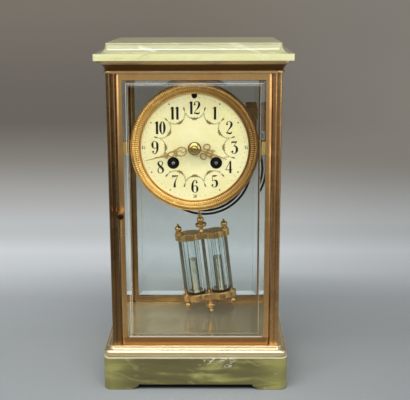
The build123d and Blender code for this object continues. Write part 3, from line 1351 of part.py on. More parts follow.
# Bob, drawn on planes along its own leaning axis
TILT = radians(BOB_DEG)
ACROSS = (cos(TILT), 0, sin(TILT))
ALONG_UP = (-sin(TILT), 0, cos(TILT))
HUNG = Plane(origin=HOOK, x_dir=ACROSS, z_dir=ALONG_UP)


def bob_plane(across, along):
    """A plane square to the bob's axis, at a distance across it and a distance down from the hook."""
    return Plane(origin=HUNG.from_local_coords((across, 0, -along)), x_dir=ACROSS, z_dir=ALONG_UP)


def round_disc(along, radius, height, edge_r):
    """A disc on the bob's axis with its rim rounded over."""
    with BuildPart() as disc:
        with Locations(bob_plane(0, along)):
            Cylinder(radius, height, align=MAX_ALIGN)
        fillet(disc.edges().filter_by(GeomType.CIRCLE), edge_r)
    return disc.part


def bob_plate(along):
    """A plate of the bob: two round lobes with a small one at each end, its edges rounded over."""
    with BuildPart() as plate:
        with BuildSketch():
            Rectangle(2 * BOB_LOBE_X, BOB_WAIST_D)
            with Locations((-BOB_LOBE_X, 0), (BOB_LOBE_X, 0)):
                Circle(BOB_LOBE_R)
            with Locations((-BOB_END_X, 0), (BOB_END_X, 0)):
                Circle(BOB_END_R)
        extrude(amount=-BOB_PLATE_T)
        fillet(plate.faces().filter_by(Axis.Z).edges(), BOB_EDGE_R)
    return bob_plane(0, along).location * plate.part


BOB_LOW_FACE = BOB_TOP + BOB_PLATE_T
with BuildPart() as top_plate:
    add(bob_plate(BOB_TOP))
    for across in (-BOB_ROD_X, BOB_ROD_X):
        with Locations(bob_plane(across, BOB_TOP)):
            Cylinder(BOB_ROD_R + SET_EASE, BOB_PLATE_T, align=MAX_ALIGN, mode=Mode.SUBTRACT)
    EYE_ALONG = EYE_HANG + EYE_R + EYE_BAR / 2
    eye_origin = HUNG.from_local_coords((-EYE_BAR / 2, 0, -EYE_HANG))
    with BuildSketch(Plane(origin=eye_origin, x_dir=(0, 1, 0), z_dir=ACROSS)):
        Circle(EYE_R + EYE_BAR / 2)
        Circle(EYE_R - EYE_BAR / 2, mode=Mode.SUBTRACT)
    extrude(amount=EYE_BAR)
    with Locations(bob_plane(0, EYE_ALONG - EYE_BAR / 3)):
        Cylinder(BOB_STEM_R, BOB_TOP - EYE_ALONG + EYE_BAR / 3, align=MAX_ALIGN)
    with Locations(bob_plane(0, STEM_BALL)):
        Sphere(STEM_BALL_R)
    add(round_disc(STEM_DISC, STEM_DISC_R, STEM_DISC_H, STEM_DISC_EDGE_R))
    with Locations(bob_plane(0, BOB_TOP)):
        Cone(STEM_FOOT_R, BOB_STEM_R, STEM_FOOT_H, align=MIN_ALIGN)
keep(top_plate.part, "bob_top_plate")

VIAL_BASE = BOB_BOTTOM - VIAL_SEAT_H
with BuildPart() as bottom_plate:
    add(bob_plate(BOB_BOTTOM))
    for across in (-BOB_LOBE_X, BOB_LOBE_X):
        with Locations(bob_plane(across, BOB_BOTTOM)):
            Cylinder(VIAL_SEAT_R, VIAL_SEAT_H, align=MIN_ALIGN)
    for across in (-BOB_ROD_X, 0, BOB_ROD_X):
        with Locations(bob_plane(across, VIAL_BASE)):
            Cylinder(
                BOB_ROD_R + SET_EASE, VIAL_SEAT_H + BOB_PLATE_T, align=MAX_ALIGN, mode=Mode.SUBTRACT
            )
keep(bottom_plate.part, "bob_bottom_plate")


def finial(across, along, way):
    """A turned finial on a plate: a collar, a neck, a ball and a tip, going up (+1) or down (-1) the bob."""
    face = bob_plane(across, along)
    stack = Plane(origin=face.origin, x_dir=ACROSS, z_dir=[way * value for value in ALONG_UP])
    ball_h = FINIAL_COLLAR_H + FINIAL_NECK_H + FINIAL_BALL_R / 2
    with BuildPart() as knob:
        with Locations(stack):
            Cylinder(FINIAL_COLLAR_R, FINIAL_COLLAR_H, align=MIN_ALIGN)
            Cylinder(FINIAL_NECK_R, ball_h, align=MIN_ALIGN)
        with Locations(stack.offset(ball_h)):
            Sphere(FINIAL_BALL_R)
            Cylinder(FINIAL_TIP_R, FINIAL_BALL_R + FINIAL_TIP_H, align=MIN_ALIGN)
    return knob.part


BOB_UNDER = BOB_BOTTOM + BOB_PLATE_T
with BuildPart() as bob_rods:
    for across in (-BOB_ROD_X, BOB_ROD_X):
        with Locations(bob_plane(across, BOB_TOP)):
            Cylinder(BOB_ROD_R, BOB_UNDER - BOB_TOP, align=MAX_ALIGN)
        add(finial(across, BOB_TOP, 1))
        add(finial(across, BOB_UNDER, -1))
    with Locations(bob_plane(0, BOB_LOW_FACE)):
        Cylinder(BOB_ROD_R, STUD_END - BOB_LOW_FACE, align=MAX_ALIGN)
    with Locations(bob_plane(0, STUD_END)):
        Sphere(STUD_BALL_R)
keep(bob_rods.part, "bob_rods")

with BuildPart() as vials:
    for across in (-BOB_LOBE_X, BOB_LOBE_X):
        with BuildSketch(bob_plane(across, BOB_LOW_FACE)):
            Circle(VIAL_R)
            Circle(VIAL_BORE_R, mode=Mode.SUBTRACT)
        extrude(amount=BOB_LOW_FACE - VIAL_BASE)
keep(vials.part, "bob_vials")

with BuildPart() as columns:
    for across in (-BOB_LOBE_X, BOB_LOBE_X):
        with Locations(bob_plane(across, VIAL_BASE)):
            Cylinder(COLUMN_R, VIAL_BASE - COLUMN_TOP, align=MIN_ALIGN)
keep(columns.part, "bob_columns")

with BuildPart() as rating_nut:
    with Locations(bob_plane(0, NUT_TOP)):
        Cylinder(NUT_COLLAR_R, NUT_COLLAR_H, align=MAX_ALIGN)
    add(round_disc(NUT_TOP + NUT_COLLAR_H, NUT_R, NUT_H, NUT_EDGE_R))
    with Locations(bob_plane(0, NUT_TOP + NUT_COLLAR_H + NUT_H)):
        Cylinder(NUT_COLLAR_R, NUT_COLLAR_H, align=MAX_ALIGN)
    with Locations(bob_plane(0, NUT_TOP)):
        Cylinder(BOB_ROD_R + PIVOT_EASE, 2 * NUT_COLLAR_H + NUT_H, align=MAX_ALIGN, mode=Mode.SUBTRACT)
keep(rating_nut.part, "rating_nut")

# Gong stand: a foot on the back plate, an arm and a block that grips the wire
GONG_WIRE_X = GONG_X + GONG_R
GONG_FOOT_OUT = GONG_WIRE_X + GONG_BLOCK_W / 2
GONG_ARM_RISE = GONG_FOOT_LOW + GONG_FOOT_H / 2
GONG_BLOCK_FRONT = GONG_Y - GONG_BLOCK_D / 2
FOOT_BACK = BACK_OUTER + GONG_FOOT_T
with BuildPart() as gong_stand:
    with BuildSketch(facing(BACK_OUTER, ((GONG_FOOT_IN + GONG_FOOT_OUT) / 2, GONG_ARM_RISE))):
        Rectangle(GONG_FOOT_OUT - GONG_FOOT_IN, GONG_FOOT_H)
    extrude(amount=-GONG_FOOT_T)
    with BuildSketch(facing(FOOT_BACK, (GONG_WIRE_X, GONG_ARM_RISE))):
        Rectangle(GONG_ARM_W, GONG_ARM_W)
    extrude(amount=FOOT_BACK - GONG_BLOCK_FRONT)
    with BuildSketch(facing(GONG_BLOCK_FRONT, (GONG_WIRE_X, GONG_BLOCK_Z + GONG_BLOCK_H / 2 - DIAL_Z))):
        Rectangle(GONG_BLOCK_W, GONG_BLOCK_H)
    extrude(amount=-GONG_BLOCK_D)
    add(round_bar(GONG_SCREW, BACK_OUTER, FOOT_BACK, PLATE_SCREW_R + SET_EASE), mode=Mode.SUBTRACT)
    with Locations((GONG_WIRE_X, GONG_Y, GONG_BLOCK_Z)):
        Cylinder(GONG_WIRE_R + SET_EASE, GONG_SOCKET, align=MIN_ALIGN, mode=Mode.SUBTRACT)
keep(gong_stand.part, "gong_stand")

# Gong coil: one wire, straight down out of the block, then half turns that wind in
GONG_START = (GONG_WIRE_X, GONG_Y, GONG_BLOCK_Z + GONG_SOCKET)
coil_points = []
with BuildPart() as coil:
    with BuildLine():
        Line(GONG_START, (GONG_WIRE_X, GONG_Y, GONG_Z))
        x = GONG_WIRE_X
        side = 1
        for half_turn in range(GONG_HALF_TURNS):
            radius = GONG_R - half_turn * GONG_PITCH / 2
            centre_x = x - side * radius
            ThreePointArc(
                (x, GONG_Y, GONG_Z),
                (centre_x, GONG_Y, GONG_Z - side * radius),
                (x - 2 * side * radius, GONG_Y, GONG_Z),
            )
            for sample in range(SAMPLES):
                turn = pi * sample / SAMPLES
                coil_points.append((centre_x + side * radius * cos(turn), -side * radius * sin(turn)))
            x -= 2 * side * radius
            side = -side
        Line((x, GONG_Y, GONG_Z), (x, GONG_Y, GONG_Z - 2 * side * GONG_WIRE_R))
    with BuildSketch(Plane(origin=GONG_START, z_dir=(0, 0, -1))):
        Circle(GONG_WIRE_R)
    sweep()
keep(coil.part, "gong_coil")
turn_gap = min(
    hypot(first[0] - second[0], first[1] - second[1])
    for index, first in enumerate(coil_points) for second in coil_points[index + SAMPLES:]
)
print(f"gong coil: least gap between turns {turn_gap - 2 * GONG_WIRE_R:.2f} mm")

# Hammer: an arbor between the plates, a lifting tail, an arm behind and a head beside the gong wire
HEAD_RISE = HAMMER_HEAD_Z - DIAL_Z
ARM_L = hypot(HAMMER_HEAD_X - HAMMER_X, HEAD_RISE - HAMMER_RISE)
ARM_TURN = atan2(HEAD_RISE - HAMMER_RISE, HAMMER_HEAD_X - HAMMER_X)
TAIL_L = hypot(HAMMER[0] - PIN_WHEEL[0], HAMMER[1] - PIN_WHEEL[1]) - PIN_CIRCLE_R - PIN_R - HAMMER_TAIL_GAP
TAIL_TURN = radians(mesh_angle(HAMMER, PIN_WHEEL))


def strip_from_hammer(y, turn):
    """A drawing plane on the hammer's arbor whose x runs along a strip at an angle."""
    return Plane(
        origin=(HAMMER[0], y, DIAL_Z + HAMMER[1]), x_dir=(cos(turn), 0, sin(turn)), z_dir=(0, -1, 0)
    )


with BuildPart() as hammer:
    add(round_bar(HAMMER, PLATE_INNER_FRONT + END_SHAKE, HAMMER_ARM_Y + HAMMER_ARM_W, ARBOR_R))
    add(round_bar(HAMMER, FRONT_PLATE_Y, BACK_PLATE_Y, PIVOT_R))
    with BuildSketch(strip_from_hammer(HAMMER_ARM_Y, ARM_TURN)):
        with Locations((ARM_L / 2, 0)):
            Rectangle(ARM_L + HAMMER_ARM_W, HAMMER_ARM_W)
    extrude(amount=-HAMMER_ARM_W)
    with BuildSketch(strip_from_hammer(HAMMER_TAIL_Y, TAIL_TURN)):
        with Locations((TAIL_L / 2, 0)):
            Rectangle(TAIL_L, HAMMER_TAIL_T)
        Circle(2 * ARBOR_R)
    extrude(amount=-HAMMER_TAIL_T)
    add(round_bar((HAMMER_HEAD_X, HEAD_RISE), HAMMER_ARM_Y, GONG_Y, HAMMER_ROD_R))
    head_end = (HAMMER_HEAD_X - HAMMER_HEAD_L / 2, GONG_Y, HAMMER_HEAD_Z)
    with BuildSketch(Plane(origin=head_end, z_dir=(1, 0, 0))):
        Circle(HAMMER_HEAD_R)
    extrude(amount=HAMMER_HEAD_L)
keep(hammer.part, "hammer")
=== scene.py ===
"""Four-glass mantel clock: finishes, dial work, hands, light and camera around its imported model.

Every length is in millimetres in the classes below and becomes metres where a mesh is made.
"""

import json
import logging
import math
from collections.abc import Callable, Iterable, Sequence
from dataclasses import dataclass
from enum import Enum
from typing import ClassVar

import bpy
from mathutils import Matrix, Vector


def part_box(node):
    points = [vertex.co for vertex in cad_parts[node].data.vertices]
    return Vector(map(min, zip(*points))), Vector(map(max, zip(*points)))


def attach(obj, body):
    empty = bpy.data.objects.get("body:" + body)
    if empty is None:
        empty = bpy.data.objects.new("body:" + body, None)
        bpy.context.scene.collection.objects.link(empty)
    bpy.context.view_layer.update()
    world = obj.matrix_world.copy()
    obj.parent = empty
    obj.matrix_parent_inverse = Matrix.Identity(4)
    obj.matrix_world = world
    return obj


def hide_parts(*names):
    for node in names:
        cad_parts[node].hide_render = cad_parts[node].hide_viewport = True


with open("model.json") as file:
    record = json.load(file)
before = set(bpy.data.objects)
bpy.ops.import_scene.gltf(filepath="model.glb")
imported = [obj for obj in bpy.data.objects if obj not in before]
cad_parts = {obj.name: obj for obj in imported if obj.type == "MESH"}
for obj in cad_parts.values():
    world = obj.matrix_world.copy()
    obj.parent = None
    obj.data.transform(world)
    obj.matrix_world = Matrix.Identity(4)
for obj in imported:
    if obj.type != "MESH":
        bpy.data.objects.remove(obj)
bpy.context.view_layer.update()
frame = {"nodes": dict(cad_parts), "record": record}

LOG = logging.getLogger("mantel_clock")
MM = 0.001
DIAL_Z = 195.0
DIAL_FACE_Y = -40.8
WINDER_ACROSS = 16.8
WINDER_DROP = 12.2

Colour = tuple[float, float, float, float]
Place = tuple[float, float]
Span = tuple[float, float]
Point = tuple[float, float, float]
Profile = Sequence[tuple[float, ...]]
Corners = tuple[tuple[int, int], ...]


def paint(code: str) -> Colour:
    """Turn a display colour into the linear colour that shaders use.

    Args:
        code: Six hexadecimal digits, two each for red, green and blue.

    Returns:
        The linear colour with an alpha of 1.
    """
    shares = [int(code[i:i + 2], 16) / 255 for i in (0, 2, 4)]
    linear = [s / 12.92 if s <= 0.04045 else ((s + 0.055) / 1.055) ** 2.4 for s in shares]
    return (linear[0], linear[1], linear[2], 1.0)


class Wire:
    """One output socket of a finish; arithmetic on it adds Math nodes."""

    def __init__(self, recipe: "Recipe", socket: bpy.types.NodeSocket) -> None:
        """Wrap a socket of a recipe's node tree."""
        self.recipe = recipe
        self.socket = socket

    def _math(self, operation: str, first: "Wire | float", second: "Wire | float") -> "Wire":
        """Add one Math node and return its result."""
        return self.recipe.node("ShaderNodeMath", {"operation": operation}, {0: first, 1: second})

    def __add__(self, other: "Wire | float") -> "Wire":
        """Sum of two values."""
        return self._math("ADD", self, other)

    def __radd__(self, other: float) -> "Wire":
        """Sum with a number on the left."""
        return self._math("ADD", other, self)

    def __sub__(self, other: "Wire | float") -> "Wire":
        """Difference of two values."""
        return self._math("SUBTRACT", self, other)

    def __rsub__(self, other: float) -> "Wire":
        """Difference with a number on the left."""
        return self._math("SUBTRACT", other, self)

    def __mul__(self, other: "Wire | float") -> "Wire":
        """Product of two values."""
        return self._math("MULTIPLY", self, other)

    def __rmul__(self, other: float) -> "Wire":
        """Product with a number on the left."""
        return self._math("MULTIPLY", other, self)

    def spread(self, low: float, high: float) -> "Wire":
        """Stretch a value so that low becomes 0 and high becomes 1, and clamp it.

        Args:
            low: Value that becomes 0.
            high: Value that becomes 1.

        Returns:
            The stretched value.
        """
        return self.recipe.node(
            "ShaderNodeMapRange", {"interpolation_type": "SMOOTHSTEP"}, {0: self, 1: low, 2: high}
        )


class Recipe:
    """The node tree of one finish."""

    def __init__(self, name: str) -> None:
        """Start an empty material.

        Args:
            name: Name of the material.
        """
        self.material = bpy.data.materials.new(name)
        self.material.use_nodes = True
        self.tree = self.material.node_tree
        self.tree.nodes.clear()

    def node(
        self,
        kind: str,
        settings: dict[str, object] | None = None,
        sockets: "dict[str | int, object] | None" = None,
        out: str | int = 0,
    ) -> Wire:
        """Add one node, set it up, link it and return one of its outputs.

        Args:
            kind: Type name of the node.
            settings: Properties to set first; "stops" gives a ramp's places and colours.
            sockets: Values or wires for the node's inputs, by name or number.
            out: Name or number of the output to return.

        Returns:
            The chosen output as a wire.
        """
        made = self.tree.nodes.new(kind)
        for key, value in (settings or {}).items():
            if key == "stops":
                self._stops(made.color_ramp.elements, value)
            else:
                setattr(made, key, value)
        for key, value in (sockets or {}).items():
            if isinstance(value, Wire):
                self.tree.links.new(value.socket, made.inputs[key])
            else:
                made.inputs[key].default_value = value
        return Wire(self, made.outputs[out])

    @staticmethod
    def _stops(elements: bpy.types.ColorRampElements, stops: Sequence[tuple[float, Colour]]) -> None:
        """Give a ramp its stops.

        Args:
            elements: The ramp's elements, of which it starts with two.
            stops: Places and colours, from left to right.
        """
        elements[0].position, elements[0].color = stops[0]
        elements[-1].position, elements[-1].color = stops[-1]
        for place, colour in stops[1:-1]:
            elements.new(place).color = colour

    def place(self, stretch: Point = (1.0, 1.0, 1.0)) -> Wire:
        """Coordinates in the clock's own frame, stretched along each axis."""
        here = self.node("ShaderNodeTexCoord", out="Object")
        return self.node("ShaderNodeMapping", {}, {"Vector": here, "Scale": stretch})

    def axis(self, letter: str) -> Wire:
        """One coordinate in the clock's own frame, in metres."""
        return self.node("ShaderNodeSeparateXYZ", {}, {0: self.place()}, letter)

    def band(self, letter: str, span: Span) -> Wire:
        """Share of the way along one axis between two places in millimetres."""
        return self.axis(letter).spread(*(edge * MM for edge in span))

    def within(self, letter: str, rise: Span, fall: Span) -> Wire:
        """Mark a stretch along one axis.

        Args:
            letter: Name of the axis.
            rise: Places in millimetres between which the mark goes from 0 to 1.
            fall: Places between which it goes back to 0.

        Returns:
            A value that is 1 inside the stretch.
        """
        along = self.axis(letter)
        started, ended = (along.spread(*(edge * MM for edge in span)) for span in (rise, fall))
        return started * (1.0 - ended)

    def noise(self, where: Wire, grain: float, detail: float = 5.0, warp: float = 0.0) -> Wire:
        """Soft clouds around one half, of a size in millimetres, with finer layers and a warp."""
        sockets = {"Vector": where, "Scale": 1 / (grain * MM), "Detail": detail, "Distortion": warp}
        return self.node("ShaderNodeTexNoise", {}, sockets)

    def mix(self, factor: Wire | float, first: Wire | Colour, second: Wire | Colour) -> Wire:
        """Blend two colours by a factor."""
        return self.node("ShaderNodeMix", {"data_type": "RGBA"}, {0: factor, 6: first, 7: second}, 2)

    def bump(self, height: Wire, strength: float, depth: float) -> Wire:
        """A normal that shows a height of that many millimetres."""
        sockets = {"Height": height, "Strength": strength, "Distance": depth * MM}
        return self.node("ShaderNodeBump", {}, sockets)

    def surface(self, **inputs: object) -> Wire:
        """The main shader; underscores in names stand for spaces."""
        sockets = {name.replace("_", " "): value for name, value in inputs.items()}
        return self.node("ShaderNodeBsdfPrincipled", {}, sockets)

    def done(self, shader: Wire) -> bpy.types.Material:
        """Join a shader to the output.

        Args:
            shader: The shader of the whole surface.

        Returns:
            The finished material.
        """
        output = self.tree.nodes.new("ShaderNodeOutputMaterial")
        self.tree.links.new(shader.socket, output.inputs["Surface"])
        return self.material


class Grain(Enum):
    """Direction in which a metal was drawn or rubbed."""

    NONE = (1.0, 1.0, 1.0)
    UPRIGHT = (1.0, 1.0, 0.03)
    ACROSS = (0.03, 1.0, 1.0)


@dataclass(frozen=True)
class Brass:
    """Brass with tarnished clouds, rubbed bright patches and fine drawn lines.

    The tarnished tone also serves as painted shade: it covers a stretch of heights and deepens side to
    side.
    """

    name: str
    tone: str
    tarnish: str
    rubbed: str
    roughness: float
    clouds: float = 0.6
    grain: Grain = Grain.NONE
    metal: float = 1.0
    dull: Span | None = None
    shaded: Span | None = None
    wear: float = 1.0

    def material(self) -> bpy.types.Material:
        """Make the finish.

        Returns:
            The brass.
        """
        recipe = Recipe(self.name)
        place = recipe.place()
        tarnish = paint(self.tarnish)
        cloud = recipe.noise(place, 26.0, 6.0, 0.4).spread(0.42, 0.66)
        rub = recipe.noise(place, 9.0, 5.0).spread(0.52, 0.72)
        speck = recipe.noise(place, 1.3, 3.0).spread(0.6, 0.78)
        lines = recipe.noise(recipe.place(self.grain.value), 0.5, 4.0)
        colour = recipe.mix(cloud * self.clouds, paint(self.tone), tarnish)
        colour = recipe.mix(rub * (0.55 * self.wear), colour, paint(self.rubbed))
        colour = recipe.mix(speck * (0.5 * self.wear), colour, tarnish)
        # Over a stretch of heights the colour goes to the darker tone; on the cornice and the front door's
        # foot this is painted shade.
        if self.dull is not None:
            low, high = self.dull
            colour = recipe.mix(recipe.within("Z", (low, low + 1.0), (high - 1.0, high)), colour, tarnish)
        # Painted shade: the colour deepens to the darker tone from one side to the other.
        if self.shaded is not None:
            colour = recipe.mix(recipe.band("X", self.shaded), colour, tarnish)
        rough = cloud * 0.10 + lines * 0.12 + speck * 0.1 + (self.roughness - 0.08)
        return recipe.done(
            recipe.surface(
                Base_Color=colour, Metallic=self.metal, Roughness=rough,
                Normal=recipe.bump(lines, 0.16, 0.02),
            )
        )


@dataclass(frozen=True)
class Onyx:
    """Banded green onyx: clouded layers, pale diagonal veins and cream patches under a polish.

    Past its ends the stone is lighter, and at its arris, a height, a cream line is painted as a highlight.
    A stretch of heights may be painted in the deep tone as shade, a spot is an area (left, right, low,
    high) with cream in it, and above a given height the polish is thinner and the colour is painted darker
    as shade.
    """

    name: str
    deep: str
    body: str
    light: str
    vein: str
    cream: str
    vein_share: float
    cream_share: float
    ends: Span
    arris: float
    flow: Point = (0.55, 0.55, 2.6)
    polish: float = 1.0
    gloss: float = 1.8
    hollow: Span | None = None
    clouding: Span = (0.36, 0.5)
    spot: tuple[float, float, float, float] | None = None
    worn_from: float | None = None

    def material(self) -> bpy.types.Material:
        """Make the finish.

        Returns:
            The onyx.
        """
        recipe = Recipe(self.name)
        place = recipe.place((1.0, 1.0, 2.2))
        bands = recipe.noise(recipe.place(self.flow), 24.0, 6.0, 1.4)
        colour = self._cream(recipe, self._layers(recipe, place, bands))
        low, high = (reach * MM for reach in self.ends)
        across = recipe.axis("X")
        glow = (across * across).spread(low * low, high * high) * (bands * 0.8 + 0.25)
        colour = recipe.mix(glow, colour, paint(self.light))
        # Painted highlight: a cream line along the arris height.
        edge = recipe.band("Z", (self.arris - 0.9, self.arris))
        colour = recipe.mix(edge * 0.85, colour, paint(self.cream))
        fine = recipe.noise(place, 1.6, 4.0)
        rough, coat = fine * 0.12 + 0.14, self.polish
        # Above a given height the polish is thinner, and the colour is painted darker towards the deep tone
        # as shade.
        if self.worn_from is not None:
            worn = recipe.band("Z", (self.worn_from - 0.5, self.worn_from))
            colour = recipe.mix(worn * (bands * 0.6 + 0.2), colour, paint(self.deep))
            rough, coat = rough + worn * 0.4, self.polish - worn * (0.35 * self.polish)
        return recipe.done(
            recipe.surface(
                Base_Color=colour, Roughness=rough, Specular_IOR_Level=0.3,
                Coat_Weight=coat, Coat_IOR=self.gloss, Coat_Roughness=0.03,
                Subsurface_Weight=0.35, Subsurface_Scale=0.006, Subsurface_Radius=(0.9, 1.0, 0.5),
                Normal=recipe.bump(fine, 0.05, 0.05),
            )
        )

    def _layers(self, recipe: Recipe, place: Wire, bands: Wire) -> Wire:
        """Colour the clouded layers, the hollow and the veins.

        Args:
            recipe: The finish being made.
            place: Coordinates drawn out flat.
            bands: Cloud values drawn out along the layers.

        Returns:
            The colour so far.
        """
        warp = recipe.noise(place, 45.0, 4.0, 0.8)
        cloud = (bands * 0.7 + warp * 0.3).spread(*self.clouding)
        colour = recipe.mix(cloud, paint(self.deep), paint(self.body))
        colour = recipe.mix((bands * 0.55 + warp * 0.45).spread(0.5, 0.64), colour, paint(self.light))
        # Painted shade: a stretch of heights darkened towards the deep tone.
        if self.hollow is not None:
            low, high = self.hollow
            inside = recipe.within("Z", (low, low + 0.3), (high - 1.2, high))
            colour = recipe.mix(inside * (warp * 0.7 + 0.45), colour, paint(self.deep))
        wave = recipe.node(
            "ShaderNodeTexWave",
            {"wave_type": "BANDS", "bands_direction": "DIAGONAL"},
            {"Vector": recipe.place((0.6, 0.6, 1.6)), "Scale": 32.0, "Distortion": 5.5, "Detail": 4.0,
             "Detail Scale": 1.6},
        )
        vein = wave.spread(0.86, 1.0) * recipe.noise(place, 20.0, 3.0).spread(0.45, 0.62)
        return recipe.mix(vein * self.vein_share, colour, paint(self.vein))

    def _cream(self, recipe: Recipe, colour: Wire) -> Wire:
        """Add the cream patches and the broken spot.

        Args:
            recipe: The finish being made.
            colour: The colour so far.

        Returns:
            The colour with cream in it.
        """
        cream = paint(self.cream)
        patch = recipe.noise(recipe.place((1.0, 1.0, 1.5)), 15.0, 7.0, 1.2).spread(0.65, 0.72)
        colour = recipe.mix(patch * self.cream_share, colour, cream)
        if self.spot is None:
            return colour
        left, right, low, high = self.spot
        inside = recipe.within("X", (left, left + 6.0), (right - 9.0, right))
        inside = inside * recipe.within("Z", (low, low + 4.0), (high, high + 1.0))
        broken = recipe.noise(recipe.place((0.7, 1.0, 1.4)), 7.0, 6.0, 1.5).spread(0.5, 0.62)
        return recipe.mix(inside * broken * 0.75, colour, cream)


@dataclass(frozen=True)
class Enamel:
    """Cream enamel, a little uneven in tone under its glaze."""

    name: str
    tone: str
    warm: str
    stain: str

    def material(self) -> bpy.types.Material:
        """Make the finish.

        Returns:
            The enamel.
        """
        recipe = Recipe(self.name)
        place = recipe.place()
        cloud = recipe.noise(place, 30.0, 5.0).spread(0.4, 0.65)
        stain = recipe.noise(place, 6.0, 6.0, 0.6).spread(0.6, 0.75)
        colour = recipe.mix(cloud * 0.7, paint(self.tone), paint(self.warm))
        colour = recipe.mix(stain * 0.5, colour, paint(self.stain))
        pits = recipe.noise(place, 0.9, 2.0)
        return recipe.done(
            recipe.surface(
                Base_Color=colour, Roughness=pits * 0.1 + 0.22, Coat_Weight=0.5, Coat_Roughness=0.06,
                Normal=recipe.bump(pits, 0.04, 0.02),
            )
        )


@dataclass(frozen=True)
class ClearGlass:
    """Old plate glass: bent light and a breath of uneven colour. Lamps reach through it."""

    name: str
    tint: str
    streak: str

    def material(self) -> bpy.types.Material:
        """Make the finish.

        Returns:
            The glass.
        """
        recipe = Recipe(self.name)
        smear = recipe.noise(recipe.place(), 14.0, 6.0).spread(0.5, 0.8)
        colour = recipe.mix(smear, paint(self.tint), paint(self.streak))
        glass = recipe.surface(Base_Color=colour, Roughness=0.0, IOR=1.5, Transmission_Weight=1.0)
        clear = recipe.node("ShaderNodeBsdfTransparent", {}, {"Color": paint(self.tint)})
        lamp = recipe.node("ShaderNodeLightPath", out="Is Shadow Ray")
        return recipe.done(recipe.node("ShaderNodeMixShader", {}, {0: lamp, 1: glass, 2: clear}))


@dataclass(frozen=True)
class GroundGlass:
    """A painted reflection line on glass, bright or dark, broken along its length; its cover says how much
    it hides.
    """

    name: str
    tone: str
    shade: str
    cover: float

    def material(self) -> bpy.types.Material:
        """Make the finish.

        Returns:
            The ground glass.
        """
        recipe = Recipe(self.name)
        break_up = recipe.noise(recipe.place(), 5.0, 5.0).spread(0.35, 0.7)
        return recipe.done(
            recipe.surface(
                Base_Color=recipe.mix(break_up, paint(self.tone), paint(self.shade)),
                Roughness=break_up * 0.2 + 0.25, Alpha=self.cover + break_up * 0.2,
            )
        )


@dataclass(frozen=True)
class Steel:
    """Steel from bright to blued, with turned lines, and spots that a streak below 1 draws out upwards."""

    name: str
    tone: str
    spots: str
    roughness: float
    streak: float = 1.0

    def material(self) -> bpy.types.Material:
        """Make the finish.

        Returns:
            The steel.
        """
        recipe = Recipe(self.name)
        spot = recipe.noise(recipe.place((1.0, 1.0, self.streak)), 3.0, 5.0).spread(0.5, 0.65)
        lines = recipe.noise(recipe.place((1.0, 0.05, 1.0)), 0.4, 3.0)
        return recipe.done(
            recipe.surface(
                Base_Color=recipe.mix(spot * 0.6, paint(self.tone), paint(self.spots)), Metallic=1.0,
                Roughness=spot * 0.15 + lines * 0.08 + self.roughness, Normal=recipe.bump(lines, 0.1, 0.02),
            )
        )


@dataclass(frozen=True)
class Lacquer:
    """A painted or fired colour: ink on the dial, or paint on iron."""

    name: str
    tone: str
    worn: str
    roughness: float
    grain: float

    def material(self) -> bpy.types.Material:
        """Make the finish.

        Returns:
            The lacquer.
        """
        recipe = Recipe(self.name)
        wear = recipe.noise(recipe.place(), self.grain, 5.0)
        return recipe.done(
            recipe.surface(
                Base_Color=recipe.mix(wear.spread(0.45, 0.75) * 0.5, paint(self.tone), paint(self.worn)),
                Roughness=wear * 0.2 + self.roughness, Specular_IOR_Level=0.15,
                Normal=recipe.bump(wear, 0.1, 0.03),
            )
        )


